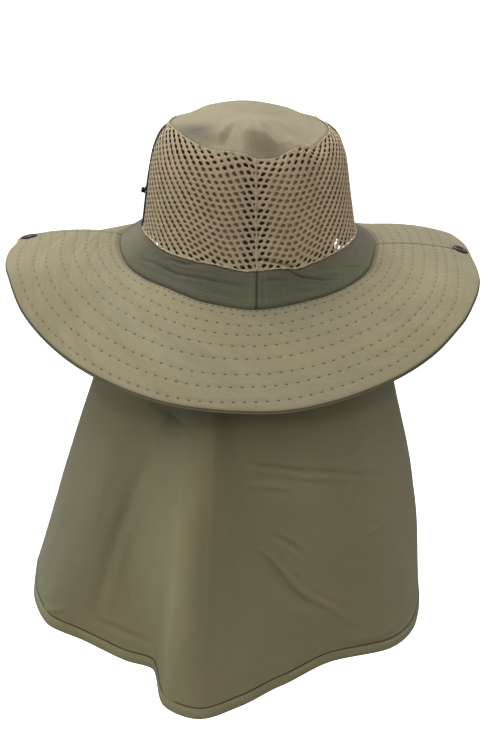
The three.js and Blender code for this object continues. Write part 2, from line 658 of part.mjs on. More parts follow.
const hat = new THREE.Group();
hat.name = 'fishing_hat_with_neck_flap';
for (const { name, finish, shape } of PIECES) {
  const mesh = new THREE.Mesh(shape(), new THREE.MeshStandardMaterial(FINISHES[finish]));
  mesh.name = name;
  hat.add(mesh);
}

export default hat;
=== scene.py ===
# A fishing hat with a netted crown, a stitched brim and a hanging neck flap.
# Lengths are in millimetres and azimuths in degrees from +X, with -90 the middle
# of the back. Meshes are turned into metres when they are made.
import math

import bmesh
import bpy
import numpy as np
from mathutils import Matrix, Vector


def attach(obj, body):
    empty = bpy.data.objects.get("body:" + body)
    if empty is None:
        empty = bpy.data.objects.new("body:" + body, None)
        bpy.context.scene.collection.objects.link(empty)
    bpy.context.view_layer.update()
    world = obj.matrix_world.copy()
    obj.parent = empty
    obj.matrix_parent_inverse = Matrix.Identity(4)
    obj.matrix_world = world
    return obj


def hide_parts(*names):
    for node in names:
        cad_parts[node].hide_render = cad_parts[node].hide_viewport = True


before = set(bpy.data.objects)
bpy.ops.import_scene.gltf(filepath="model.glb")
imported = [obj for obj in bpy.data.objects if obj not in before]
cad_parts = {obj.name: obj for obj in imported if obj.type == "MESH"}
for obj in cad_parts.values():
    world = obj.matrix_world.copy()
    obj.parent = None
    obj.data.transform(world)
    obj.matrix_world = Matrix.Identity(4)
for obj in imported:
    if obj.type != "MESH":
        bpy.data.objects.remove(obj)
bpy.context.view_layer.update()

MM = 0.001
BACK = -90.0
FRONT = 90.0

# Thicknesses of the cloth. Band and brim are as thick as in the solids; the net, the
# flap and the top panel are thinner here.
NET = 0.8
BAND = 2.0
BRIM = 2.6
FLAP = 1.0
TIP = 1.2
GAP = 0.3  # left between neighbouring pieces
# Levels on the crown
BAND_TOP = 14.0
NET_FOOT = 14.6
STUD_LEVEL = 39.5
CROWN_TOP = 86.0
HEM = 7.0  # height of the flap's bound edge
SNAP_RADIUS = 5.6
SNAP_OUT = 0.88  # place of the ring sockets, as a share of the brim's reach
MEAN_REACH = 76  # usual reach of the brim
MEAN_SEAM = 96  # usual radius of the seam where it starts

# Crown ovals: level, half width, half depth, middle x and y, saddle, tilt, lean
LEVEL_ROWS = [
    (0, 88.0, 104.0, 0.6, 0.0, 7.0, 0.0, 50),
    (5, 82.2, 97.6, 1.0, 0.5, 5.5, 0.0, 36),
    (14.3, 74.2, 89.5, 1.4, 1.5, 2.2, 0.0, 18),
    (29, 71.8, 87.0, 1.1, 1.5, 1.5, 0.0, 10),
    (42.5, 70.0, 85.0, 0.7, 1.0, 1.5, 0.0, 8),
    (54, 68.5, 83.4, 0.5, 0.5, 2.0, -0.2, 8),
    (66, 66.5, 81.4, 0.5, 0.0, 2.5, -0.7, 12),
    (73, 64.2, 79.6, 0.4, 0.0, 2.9, -1.3, 20),
    (80, 60.5, 76.6, 0.3, 0.0, 3.1, -1.8, 34),
    (86, 54.6, 72.0, 0.0, 0.0, 3.2, -2.0, 48),
]
LEVEL_KEYS = ("half_x", "half_y", "mid_x", "mid_y", "saddle", "tilt", "lean")

# Brim: azimuth, reach in plan, height of the rim over the seam, bulge between
BRIM_ROWS = [
    (-180, 72.2, -1.0, 4.2),
    (-170, 79.2, 0.3, 3.2),
    (-160, 85.0, -1.5, 4.0),
    (-150, 87.0, -13.5, 4.5),
    (-140, 82.0, -28.0, 4.0),
    (-130, 77.5, -37.0, 4.0),
    (-120, 74.6, -41.7, 4.0),
    (-105, 74.0, -43.8, 4.0),
    (-90, 74.4, -43.1, 4.0),
    (-75, 77.0, -38.0, 4.0),
    (-60, 78.8, -32.4, 4.5),
    (-50, 80.7, -25.1, 4.5),
    (-40, 81.2, -16.0, 4.5),
    (-30, 78.2, -11.0, 4.5),
    (-20, 74.6, -10.0, 4.0),
    (-10, 71.8, -12.0, 4.0),
    (0, 70.1, -13.2, 4.0),
    (10, 71.3, -12.2, 4.6),
    (20, 73.5, -12.0, 4.4),
    (35, 77.5, -19.5, 0.8),
    (50, 80.3, -30.0, 1.0),
    (70, 80.0, -38.0, 4.0),
    (90, 79.0, -41.0, 4.0),
    (110, 79.0, -40.0, 4.0),
    (130, 80.0, -34.0, 0.6),
    (145, 78.5, -26.0, 0.0),
    (160, 74.8, -13.0, -1.2),
    (170, 72.0, -6.0, 3.8),
]
BRIM_KEYS = ("reach", "rise", "bulge")

# How the cloth departs from those ovals: azimuth, then mm that the brim seam is
# pulled out, the net's foot is raised and the seam round the top panel is raised
EASE_ROWS = [
    (-190, 0.0, 0.0, 0.0),
    (-180, 0.2, 0.0, 0.8),
    (-172, 0.8, 0.1, 2.2),
    (-162, 2.1, 0.9, 3.3),
    (-153, 2.8, 0.6, 3.4),
    (-144, 2.1, 0.2, 2.7),
    (-137, 0.9, 0.6, 2.1),
    (-130, -0.4, 1.1, 1.7),
    (-121, -0.5, 1.8, 1.3),
    (-114, -0.1, 2.2, 2.5),
    (-106, -0.4, 1.5, 3.0),
    (-99, 0.0, 0.5, 3.0),
    (-94, 0.4, 0.2, 1.6),
    (-88, 0.2, 0.8, -0.8),
    (-80, -0.5, 1.3, -1.0),
    (-75, -0.8, 0.9, -0.8),
    (-68, -0.9, -0.5, 1.6),
    (-60, 0.0, 0.7, 3.0),
    (-54, 0.4, 1.2, 3.2),
    (-48, 1.1, 1.6, 0.4),
    (-42, 1.4, 1.7, -0.9),
    (-35, 1.8, 1.4, -0.7),
    (-28, 1.5, 0.9, 0.2),
    (-20, 0.2, 0.3, -0.2),
    (-10, -0.3, -0.5, -1.2),
    (0, 0.0, 0.0, -1.6),
    (12, 0.0, 0.0, -1.5),
    (40, 0.0, 0.0, 0.0),
    (170, 0.0, 0.0, 0.0),
]
EASE_KEYS = ("pull", "foot", "rim")
PULL_DROP = 0.6  # mm that the seam drops for each mm that it is pulled out

# Rises of the top panel: x, y, radius along x and y, height
TIP_ROWS = [
    (36, -8, 10, 24, 1.4),
    (-2, 34, 40, 34, 10.5),
]
# The top panel falls to its seam at the back: azimuth, share of the fall that is
# steep, and width of the steep part
FALL = {"x": 5, "y": -48, "radius_x": 45, "radius_y": 42, "height": 14.5, "width": 45}
FALL_ROWS = [
    (-190, 0.0, 9),
    (-160, 0.0, 9),
    (-150, 0.3, 10),
    (-138, 0.5, 9),
    (-128, 0.8, 10),
    (-120, 0.9, 12),
    (-112, 0.25, 20),
    (-104, 0.25, 24),
    (-97, 0.8, 18),
    (-90, 1.0, 15),
    (-84, 1.0, 14),
    (-78, 0.8, 11),
    (-72, 0.45, 8),
    (-66, 0.3, 8),
    (-56, 0.2, 8),
    (-40, 0.0, 8),
    (170, 0.0, 9),
]
FALL_KEYS = ("share", "width")
# Painted shade in the top panel's hollows, and painted light on its swells below 0: x, y,
# radius along x and y, and darkening
TIP_PAINTED_SHADE = [
    (-38, -30, 13, 18, 0.58),
    (-31, -46, 9, 10, 0.26),
    (-19, -47, 6, 12, -0.06),
    (-16, -66, 10, 5, 0.16),
    (8, -66, 14, 8, 0.28),
    (-3, -57, 8, 5, 0.16),
    (14, -48, 9, 8, -0.08),
    (30, -51, 11, 10, -0.1),
]

# Rows of points down the flap, each from its left edge to its right
FLAP_ROWS = {
    0.28: [
        (-98, 8, -75), (-103, -12, -76), (-105.3, -40, -76), (-101, -68, -78),
        (-88, -88, -80), (-71, -99, -80), (-56, -106, -80), (-42, -115, -80),
        (-27, -117, -80), (-10, -112, -80), (11, -110, -80), (36, -106, -80),
        (63, -95, -80), (85, -75, -79), (100, -50, -78), (98, -5, -76),
    ],
    0.6: [
        (-118, 15, -158), (-128, -10, -160), (-130.5, -45, -160), (-122, -80, -160),
        (-103, -102, -160), (-82, -105, -162), (-64, -119, -163), (-48, -133, -165),
        (-30, -134, -167), (-10, -119, -168), (16, -113, -168), (46, -112, -167),
        (81, -98, -165), (106, -72, -164), (119.7, -35, -163), (112, 5, -160),
    ],
    1.0: [
        (-139, 18, -231), (-149.2, -10, -234), (-149.6, -50, -235.5), (-138, -96, -239.5),
        (-114, -105, -247), (-86, -119, -255), (-66.5, -127, -258.5), (-60.5, -152, -271),
        (-36, -160, -278), (-8, -147, -276), (21.5, -124, -273.5), (58, -110, -262.5),
        (98, -98, -260), (121.5, -62, -258.5), (130, -10, -256), (123, 20, -253),
    ],
}
FLAP_SEAM = {"inset": 1.4, "below": 1.85, "from": -178, "to": -2}

# The photograph's camera: angles in degrees, distance and aim in millimetres
CAMERA = {"azimuth": -3.5, "pitch": 20.5, "roll": 1.0, "distance": 1500.0}
CAMERA_AIM = (-0.6, 0.0, -86.2)
FOCAL_PX = 2113.0
PHOTO_HEIGHT = 731
SENSOR = 36.0


class Curve:
    """A smooth curve through rows that never overshoots them."""

    def __init__(self, xs, ys):
        self.xs = np.asarray(xs, float)
        self.ys = np.asarray(ys, float)
        step = np.diff(self.xs)
        slope = np.diff(self.ys) / step
        self.tangent = np.zeros(len(self.xs))
        self.tangent[0] = slope[0]
        self.tangent[-1] = slope[-1]
        for i in range(1, len(self.xs) - 1):
            if slope[i - 1] * slope[i] > 0:
                a = 2 * step[i] + step[i - 1]
                b = step[i] + 2 * step[i - 1]
                self.tangent[i] = (a + b) / (a / slope[i - 1] + b / slope[i])

    def __call__(self, x):
        x = np.asarray(x, float)
        i = np.clip(np.searchsorted(self.xs, x) - 1, 0, len(self.xs) - 2)
        h = self.xs[i + 1] - self.xs[i]
        t = (x - self.xs[i]) / h
        t2 = t * t
        t3 = t2 * t
        return (
            self.ys[i] * (2 * t3 - 3 * t2 + 1)
            + self.tangent[i] * h * (t3 - 2 * t2 + t)
            + self.ys[i + 1] * (3 * t2 - 2 * t3)
            + self.tangent[i + 1] * h * (t3 - t2)
        )


def columns_of(rows, keys):
    table = np.array(rows, float)
    return {key: Curve(table[:, 0], table[:, i + 1]) for i, key in enumerate(keys)}


LEVEL = columns_of(LEVEL_ROWS, LEVEL_KEYS)
TURNED = [(row[0] + turn, *row[1:]) for turn in (-360, 0, 360) for row in BRIM_ROWS]
BRIM_AT = columns_of(TURNED, BRIM_KEYS)
EASE_AT = columns_of(EASE_ROWS, EASE_KEYS)
FALL_AT = columns_of(FALL_ROWS, FALL_KEYS)


def smooth(low, high, x):
    t = np.clip((np.asarray(x, float) - low) / (high - low), 0, 1)
    return t * t * (3 - 2 * t)


def bell(x, width):
    return np.exp(-((np.asarray(x, float) / width) ** 2))


def unit(vectors):
    """Vectors of length 1 along the given ones."""
    return vectors / np.maximum(np.linalg.norm(vectors, axis=-1, keepdims=True), 1e-9)


def turn_between(azimuth, other):
    """Signed difference of two azimuths, from -180 to 180."""
    return (np.asarray(azimuth, float) - other + 180) % 360 - 180


def from_left(azimuth):
    """The same azimuth counted from -190 to 170, as the rows above are."""
    return (np.asarray(azimuth, float) + 190) % 360 - 190


def crown(azimuth, level, depth=0.0):
    """A point of the crown wall, `depth` inside its outer skin."""
    azimuth, level, depth = np.broadcast_arrays(
        np.asarray(azimuth, float), np.asarray(level, float), np.asarray(depth, float)
    )
    a = np.radians(azimuth)
    lean = np.radians(LEVEL["lean"](level))
    inward = depth * np.cos(lean)
    x = LEVEL["mid_x"](level) + (LEVEL["half_x"](level) - inward) * np.cos(a)
    y = LEVEL["mid_y"](level) + (LEVEL["half_y"](level) - inward) * np.sin(a)
    z = level + LEVEL["saddle"](level) * np.cos(2 * a) + LEVEL["tilt"](level) * np.sin(a)
    at = from_left(azimuth)
    pull = EASE_AT["pull"](at) * (1 - smooth(0, BAND_TOP, level))
    foot = EASE_AT["foot"](at) * smooth(0, BAND_TOP, level) * (1 - smooth(16, 50, level))
    rim = EASE_AT["rim"](at) * smooth(70, CROWN_TOP, level)
    z = z - depth * np.sin(lean) - PULL_DROP * pull + foot + rim
    return np.stack([x + pull * np.cos(a), y + pull * np.sin(a), z], -1)


def brim(azimuth, out, depth=0.0):
    """A point of the brim, `out` from 0 at the seam to 1 at the rim."""
    azimuth, out, depth = np.broadcast_arrays(
        np.asarray(azimuth, float), np.asarray(out, float), np.asarray(depth, float)
    )
    at = (azimuth + 180) % 360 - 180
    first = LEVEL_ROWS[0]
    a = np.radians(at)
    away = unit(np.stack([np.cos(a) / first[1], np.sin(a) / first[2]], -1))
    point = crown(at, np.zeros_like(at))
    pull = EASE_AT["pull"](from_left(at))
    distance = GAP + (BRIM_AT["reach"](at) - GAP - pull) * out
    point[..., :2] += away * distance[..., None]
    lift = (BRIM_AT["rise"](at) + PULL_DROP * pull) * out + BRIM_AT["bulge"](at) * 4 * out * (1 - out)
    point[..., 2] += lift - depth
    return point


def right_seam(out):
    """Azimuth of the brim's right side seam, which runs forward on its way out."""
    return -5 + 8 * np.asarray(out, float)


def left_seam(out):
    """Azimuth of the brim's left side seam, which runs back on its way out."""
    return 171 + 8 * np.asarray(out, float)


FLAP_COLUMNS = np.arange(len(FLAP_ROWS[1.0]))


def flap_seam_points():
    share = FLAP_COLUMNS / FLAP_COLUMNS[-1]
    azimuth = FLAP_SEAM["from"] + (FLAP_SEAM["to"] - FLAP_SEAM["from"]) * share
    a = np.radians(azimuth)
    inward = np.stack([np.cos(a), np.sin(a), 0 * a], -1) * FLAP_SEAM["inset"]
    return crown(azimuth, 0) - inward - (0, 0, FLAP_SEAM["below"])


FLAP_DOWNS = [0.0, *FLAP_ROWS]
FLAP_POINTS = [flap_seam_points(), *(np.array(row, float) for row in FLAP_ROWS.values())]
FLAP_ALONG = [[Curve(FLAP_COLUMNS, row[:, k]) for k in range(3)] for row in FLAP_POINTS]


def flap(across, down):
    """The outer skin of the flap, `across` and `down` from 0 to 1."""
    across, down = np.broadcast_arrays(np.asarray(across, float), np.asarray(down, float))
    places, which = np.unique(across, return_inverse=True)
    which = which.reshape(across.shape)
    out = np.zeros((*across.shape, 3))
    for k in range(3):
        rows = np.stack([row[k](places * FLAP_COLUMNS[-1]) for row in FLAP_ALONG])
        for n in range(len(places)):
            mine = which == n
            out[mine, k] = Curve(FLAP_DOWNS, rows[:, n])(down[mine])
    return out


def normals_of(grid):
    """Unit normals of a grid of points (rows, columns, 3)."""
    return unit(np.cross(np.gradient(grid, axis=1), np.gradient(grid, axis=0)))


def lengths_along(points):
    """Running length of a line of points."""
    steps = np.linalg.norm(np.diff(points, axis=0), axis=1)
    return np.concatenate([[0.0], np.cumsum(steps)])


# Materials


def srgb(colour):
    """A colour from 0 to 255 as linear values."""
    values = np.array(colour, float) / 255
    linear = np.where(values <= 0.04045, values / 12.92, ((values + 0.055) / 1.055) ** 2.4)
    return (*(float(v) for v in linear), 1.0)


class Graph:
    """One material, with short calls that add its nodes."""

    def __init__(self, name):
        self.material = bpy.data.materials.new(name)
        self.material.use_nodes = True
        self.nodes = self.material.node_tree.nodes
        self.links = self.material.node_tree.links
        self.shader = self.nodes["Principled BSDF"]

    def fill(self, node, inputs):
        """Link or set inputs of a node."""
        for key, value in inputs.items():
            if isinstance(value, bpy.types.NodeSocket):
                self.links.new(value, node.inputs[key])
            else:
                node.inputs[key].default_value = value

    def add(self, kind, output, inputs, **settings):
        """Add a node and give one of its outputs."""
        node = self.nodes.new(kind)
        for key, value in settings.items():
            setattr(node, key, value)
        self.fill(node, inputs)
        return node.outputs[output]

    def math(self, operation, a, b=0.0):
        return self.add("ShaderNodeMath", 0, {0: a, 1: b}, operation=operation)

    def total(self, first, *others):
        for other in others:
            first = self.math("ADD", first, other)
        return first

    def attribute(self, name, output):
        return self.add("ShaderNodeAttribute", output, {}, attribute_name=name)

    def scaled(self, vector, scale):
        return self.add("ShaderNodeVectorMath", 0, {0: vector, 1: scale}, operation="MULTIPLY")

    def noise(self, vector, scale, detail=2.0, roughness=0.5):
        inputs = {"Vector": vector, "Scale": scale, "Detail": detail, "Roughness": roughness}
        return self.add("ShaderNodeTexNoise", "Fac", inputs)

    def remap(self, value, low, high, to_low, to_high):
        inputs = {"Value": value, "From Min": low, "From Max": high, "To Min": to_low, "To Max": to_high}
        return self.add("ShaderNodeMapRange", "Result", inputs)

    def mix(self, share, a, b):
        return self.add("ShaderNodeMix", "Result", {"Factor": share, "A": a, "B": b}, data_type="RGBA")

    def dim(self, colour, share):
        """Multiply a colour by a number."""
        return self.add("ShaderNodeVectorMath", 0, {0: colour, "Scale": share}, operation="SCALE")

    def bump(self, height, distance, normal=None):
        inputs = {"Strength": 1.0, "Distance": distance * MM, "Height": height}
        if normal is not None:
            inputs["Normal"] = normal
        return self.add("ShaderNodeBump", "Normal", inputs)

    def weave(self, vector, pitch):
        """Height of a plain weave of yarns `pitch` apart, from 0 to 1."""
        parts = self.nodes.new("ShaderNodeSeparateXYZ")
        self.fill(parts, {0: self.scaled(vector, (math.pi / pitch, math.pi / pitch, 1.0))})
        warp = self.math("SINE", parts.outputs[0])
        weft = self.math("SINE", parts.outputs[1])
        over = self.math("GREATER_THAN", self.math("MULTIPLY", warp, weft), 0.0)
        warp = self.math("ABSOLUTE", warp)
        weft = self.math("ABSOLUTE", weft)
        return self.math("ADD", self.math("MULTIPLY", over, warp),
                         self.math("MULTIPLY", self.math("SUBTRACT", 1.0, over), weft))


def cloth_material(name, colour, pitch, roughness, sheen, mottle=0.07, grain=0.10, ripple=0.25,
                   cast=(1.0, 1.0, 1.0)):
    """Woven cloth: yarns, slubs along both ways, soft mottling and shading painted on the mesh."""
    g = Graph(name)
    place = g.attribute("cloth", "Vector")
    weave = g.weave(place, pitch)
    warp_slubs = g.noise(g.scaled(place, (2.2, 0.09, 1.0)), 1.0, 3.0, 0.6)
    weft_slubs = g.noise(g.scaled(place, (0.09, 2.2, 1.0)), 1.0, 3.0, 0.6)
    yarns = g.math("ADD", warp_slubs, weft_slubs)
    clouds = g.noise(place, 0.035, 4.0, 0.55)
    specks = g.noise(place, 1.3, 2.0, 0.7)
    tone = g.total(g.remap(clouds, 0.3, 0.7, -mottle, mottle),
                   g.remap(specks, 0.25, 0.75, -grain * 0.5, grain * 0.5),
                   g.remap(yarns, 0.7, 1.3, -grain, grain), g.remap(weave, 0.0, 1.0, -0.06, 0.05), 1.0)
    plain = srgb(colour)
    warm = tuple(c * k for c, k in zip(plain, (*cast, 1.0)))
    tint = g.noise(place, 0.011, 2.0, 0.5)
    base = g.mix(g.remap(tint, 0.35, 0.65, 0.0, 1.0), plain, warm)
    soft = g.bump(g.noise(place, 0.09, 3.0, 0.5), ripple * 4)
    g.fill(g.shader, {
        "Base Color": g.dim(base, g.math("MULTIPLY", tone, g.attribute("shade", "Fac"))),
        "Roughness": roughness,
        "Specular IOR Level": 0.25,
        "Sheen Weight": sheen,
        "Sheen Roughness": 0.45,
        "Normal": g.bump(weave, pitch * 0.18, g.bump(yarns, 0.06, soft)),
    })
    return g.material


def net_material(name, colour):
    """Knitted yarn: fine loops that run along the strands, and fuzz."""
    g = Graph(name)
    place = g.attribute("cloth", "Vector")
    loops = g.noise(g.scaled(place, (1.4, 3.2, 2.0)), 1.0, 3.0, 0.6)
    cells = g.add("ShaderNodeTexVoronoi", "Distance",
                  {"Vector": g.scaled(place, (1.0, 1.5, 1.0)), "Scale": 1.6}, feature="F1")
    clouds = g.noise(place, 0.06, 3.0, 0.5)
    tone = g.total(g.remap(loops, 0.3, 0.7, -0.2, 0.2), g.remap(clouds, 0.3, 0.7, -0.06, 0.06),
                   g.remap(cells, 0.0, 0.7, 0.09, -0.2), 1.0)
    g.fill(g.shader, {
        "Base Color": g.dim(srgb(colour)[:3], g.math("MULTIPLY", tone, g.attribute("shade", "Fac"))),
        "Roughness": 0.85,
        "Specular IOR Level": 0.2,
        "Sheen Weight": 0.15,
        "Normal": g.bump(loops, 0.10, g.bump(cells, 0.12)),
    })
    return g.material


def thread_material(name, colour):
    g = Graph(name)
    strands = g.noise(g.add("ShaderNodeTexCoord", "Object", {}), 2500.0, 2.0, 0.6)
    tone = g.math("MULTIPLY", g.remap(strands, 0.3, 0.7, 0.75, 1.2), g.attribute("shade", "Fac"))
    g.fill(g.shader, {
        "Base Color": g.dim(srgb(colour)[:3], tone),
        "Roughness": 0.7,
        "Normal": g.bump(strands, 0.05),
    })
    return g.material


def enamel_material(name, colour, edge, metal):
    """Coated metal, worn lighter where its edges rub."""
    g = Graph(name)
    scratches = g.noise(g.add("ShaderNodeTexCoord", "Object", {}), 900.0, 4.0, 0.6)
    worn = g.remap(g.attribute("shade", "Fac"), 1.0, 2.0, 0.0, 1.0)
    share = g.math("MULTIPLY", g.remap(scratches, 0.45, 0.7, 0.0, 1.0), worn)
    g.fill(g.shader, {
        "Base Color": g.mix(share, srgb(colour), srgb(edge)),
        "Metallic": metal,
        "Roughness": g.remap(scratches, 0.3, 0.7, 0.32, 0.52),
        "Normal": g.bump(scratches, 0.02),
    })
    return g.material


KHAKI = {"pitch": 0.42, "roughness": 0.88, "sheen": 0.12}
TIP_CLOTH = cloth_material("tip_cloth", (160, 150, 124), **KHAKI, cast=(1.03, 1.0, 0.95))
BRIM_CLOTH = cloth_material("brim_cloth", (157, 149, 121), **KHAKI, cast=(1.04, 1.0, 0.93))
BAND_CLOTH = cloth_material("band_cloth", (99, 98, 79), 0.36, 0.82, 0.2, cast=(1.05, 1.0, 0.94))
FLAP_CLOTH = cloth_material("flap_cloth", (142, 137, 104), 0.36, 0.55, 0.2, mottle=0.03, grain=0.04,
                            ripple=0.15, cast=(1.05, 1.0, 0.92))
LINING_CLOTH = cloth_material("lining_cloth", (182, 154, 116), 0.5, 0.95, 0.0)
TAPE_CLOTH = cloth_material("tape_cloth", (44, 42, 35), 0.8, 0.85, 0.1)
NET_YARN = net_material("net_yarn", (192, 171, 139))
THREAD = thread_material("thread_dark", (72, 68, 50))
BAND_THREAD = thread_material("thread_band", (128, 126, 104))
FLAP_THREAD = thread_material("thread_flap", (84, 80, 60))
SNAP_METAL = enamel_material("snap_metal", (46, 32, 27), (140, 118, 104), 0.4)
STUD_METAL = enamel_material("stud_black", (22, 21, 20), (80, 78, 74), 0.1)


# Meshes


def linked(name, data):
    """A new object in the scene."""
    thing = bpy.data.objects.new(name, data)
    bpy.context.scene.collection.objects.link(thing)
    return thing


def add_piece(name, points, faces, material, cloth=None, shade=None, replaces=()):
    """A mesh object that rides on the hat and stands for the named solids."""
    points = np.asarray(points, float).reshape(-1, 3)
    mesh = bpy.data.meshes.new(name)
    mesh.from_pydata((points * MM).tolist(), [], [list(map(int, face)) for face in faces])
    place = points if cloth is None else np.asarray(cloth, float).reshape(-1, 3)
    tone = np.ones(len(points)) if shade is None else np.asarray(shade, float).ravel()
    painted = (("cloth", "FLOAT_VECTOR", "vector", place), ("shade", "FLOAT", "value", tone))
    for key, kind, field, values in painted:
        mesh.attributes.new(key, kind, "POINT").data.foreach_set(field, values.astype(np.float32).ravel())
    edit = bmesh.new()
    edit.from_mesh(mesh)
    bmesh.ops.remove_doubles(edit, verts=edit.verts, dist=1e-7)
    bmesh.ops.dissolve_degenerate(edit, edges=edit.edges, dist=1e-7)
    bmesh.ops.recalc_face_normals(edit, faces=edit.faces)
    edit.to_mesh(mesh)
    edit.free()
    mesh.shade_smooth()
    mesh.materials.append(material)
    piece = linked(name, mesh)
    if replaces:
        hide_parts(*replaces)
    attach(piece, "root")
    return piece


def grid_faces(rows, columns, start=0, wrap=False):
    i, j = np.meshgrid(np.arange(rows - 1), np.arange(columns if wrap else columns - 1), indexing="ij")
    n = (j + 1) % columns
    quads = np.stack([i * columns + j, i * columns + n, (i + 1) * columns + n, (i + 1) * columns + j], -1)
    return (quads.reshape(-1, 4) + start).tolist()


def capped_faces(rings, sides):
    """Faces of a row of closed rings with flat ends."""
    last = (rings - 1) * sides
    return [*grid_faces(rings, sides, 0, True), list(range(sides)), list(range(last, last + sides))]


def two_sided(outer, wrap=False, ends=(0, -1)):
    """Faces of a closed wall with a second skin like the grid `outer`, joined at its end rows."""
    rows, columns = outer.shape[:2]
    size = rows * columns
    index = np.arange(size).reshape(rows, columns)
    edges = [np.append(index[row], index[row, 0]) if wrap else index[row] for row in ends]
    if not wrap:
        edges += [index[:, 0], index[:, -1]]
    faces = grid_faces(rows, columns, 0, wrap) + grid_faces(rows, columns, size, wrap)
    return faces + [[a, b, b + size, a + size] for edge in edges for a, b in zip(edge[:-1], edge[1:])]


def add_wall(name, outer, inner, material, cloth, shade, node, wrap=False, inside=1.0):
    """A closed cloth wall between two grids; `inside` is the shade of its inner skin."""
    points = np.concatenate([outer.reshape(-1, 3), inner.reshape(-1, 3)])
    cloth = cloth.reshape(-1, 3)
    shade = shade.ravel()
    return add_piece(name, points, two_sided(outer, wrap), material, np.concatenate([cloth, cloth]),
                     np.concatenate([shade, shade * inside]), [node])


def tube(path, radii, sides, closed=False, up=(0.0, 0.0, 1.0)):
    """Points and faces of a round tube along a path."""
    if closed:
        tangent = unit(np.roll(path, -1, 0) - np.roll(path, 1, 0))
    else:
        tangent = unit(np.gradient(path, axis=0))
    side = unit(np.cross(tangent, np.broadcast_to(up, tangent.shape)))
    high = np.cross(side, tangent)
    turn = np.arange(sides) * 2 * math.pi / sides
    ring = side[:, None] * np.cos(turn)[None, :, None] + high[:, None] * np.sin(turn)[None, :, None]
    points = path[:, None] + ring * radii[:, None, None]
    if not closed:
        return points.reshape(-1, 3), capped_faces(len(path), sides)
    last = (len(path) - 1) * sides
    joint = [[last + k, last + (k + 1) % sides, (k + 1) % sides, k] for k in range(sides)]
    return points.reshape(-1, 3), grid_faces(len(path), sides, 0, True) + joint


def from_line(points, line):
    """Distance of points from a line of points, and the share along it."""
    best = np.full(points.shape[:-1], 1e9)
    along = np.zeros(points.shape[:-1])
    last = len(line) - 1
    for n in range(last):
        step = line[n + 1] - line[n]
        t = np.clip(((points - line[n]) @ step) / (step @ step), 0, 1)
        distance = np.linalg.norm(points - (line[n] + t[..., None] * step), axis=-1)
        closer = distance < best
        best = np.where(closer, distance, best)
        along = np.where(closer, (n + t) / last, along)
    return best, along


def creased(points, creases, place):
    """Push of the cloth along its normal, and the painted shade and light along a list of creases."""
    push = np.zeros(points.shape[:-1])
    tone = np.ones(points.shape[:-1])
    for width, height, dark, line in creases:
        distance, along = from_line(points, place(*np.array(line, float).T))
        taper = np.sin(np.clip(along, 0.03, 0.97) * math.pi) ** 0.5
        push += taper * height * (bell(distance, width) - 0.4 * bell(distance - 2.3 * width, width))
        tone *= 1 - dark * taper * bell(distance, width * 0.7)
    return push, tone


def sampled(values, run, places):
    """Points between those of a line, at places along its running length."""
    return np.stack([np.interp(places, run, values[:, k]) for k in range(3)], -1)


# Section of a stitch: place along it and share of its full radius
STITCH_SECTION = [(-0.5, 0.25), (-0.36, 0.8), (0.0, 1.0), (0.36, 0.8), (0.5, 0.25)]
STITCH_SIDES = 6


def stitches(lines, pitch, length, radius, sink=0.0):
    """Points and faces of many short threads lying along lines of (points, normals)."""
    turn = np.arange(STITCH_SIDES) * 2 * math.pi / STITCH_SIDES
    pattern = capped_faces(len(STITCH_SECTION), STITCH_SIDES)
    per = len(STITCH_SECTION) * STITCH_SIDES
    blocks = []
    for points, normals in lines:
        run = lengths_along(points)
        places = np.arange(0.5 * pitch, run[-1], pitch)
        middle = sampled(points, run, places)
        ahead = unit(sampled(points, run, places + 0.3) - sampled(points, run, places - 0.3))
        normal = unit(sampled(normals, run, places))
        side = np.cross(ahead, normal)
        rings = []
        for along, width in STITCH_SECTION:
            centre = middle + ahead * (along * length) - normal * (sink + (1 - width) * radius * 0.9)
            ring = (side[:, None] * np.cos(turn)[None, :, None]
                    + normal[:, None] * np.sin(turn)[None, :, None]) * (radius * width)
            rings.append(centre[:, None] + ring)
        blocks.append(np.stack(rings, 1).reshape(-1, 3))
    points = np.concatenate(blocks)
    faces = [[index + start for index in face] for start in range(0, len(points), per) for face in pattern]
    return points, faces


def turned(profile, sides, foot, axis):
    """Points and faces of a lathed piece standing on a point along a direction."""
    turn = np.array(Vector((0, 0, 1)).rotation_difference(Vector(axis).normalized()).to_matrix())
    around = np.arange(sides) * 2 * math.pi / sides
    rings = [np.stack([r * np.cos(around), r * np.sin(around), np.full(sides, h)], -1) for r, h in profile]
    return np.concatenate(rings) @ turn.T + foot, capped_faces(len(profile), sides)


def round_profile(corners, steps=4):
    """A lathe profile with its corners rounded by short curves."""
    corners = np.array(corners, float)
    out = [corners[0]]
    for before, here, after in zip(corners[:-2], corners[1:-1], corners[2:]):
        a = here + (before - here) * 0.3
        b = here + (after - here) * 0.3
        out += [(1 - t) ** 2 * a + 2 * t * (1 - t) * here + t * t * b for t in np.linspace(0, 1, steps)]
    return [tuple(point) for point in (*out, corners[-1])]


# Camera


def make_camera():
    azimuth = math.radians(CAMERA["azimuth"])
    pitch = math.radians(CAMERA["pitch"])
    roll = math.radians(CAMERA["roll"])
    level = math.cos(pitch)
    back = Vector((math.sin(azimuth) * level, -math.cos(azimuth) * level, math.sin(pitch)))
    right = (-back).cross(Vector((0, 0, 1))).normalized()
    up = right.cross(-back)
    rolled_right = right * math.cos(roll) + up * math.sin(roll)
    rolled_up = up * math.cos(roll) - right * math.sin(roll)
    data = bpy.data.cameras.new("camera")
    data.sensor_width = SENSOR
    data.lens = FOCAL_PX * SENSOR / PHOTO_HEIGHT
    data.clip_end = 100.0
    camera = linked("camera", data)
    turn = Matrix((rolled_right, rolled_up, back)).transposed().to_4x4()
    place = (Vector(CAMERA_AIM) + back * CAMERA["distance"]) * MM
    camera.matrix_world = Matrix.Translation(place) @ turn
    bpy.context.scene.camera = camera


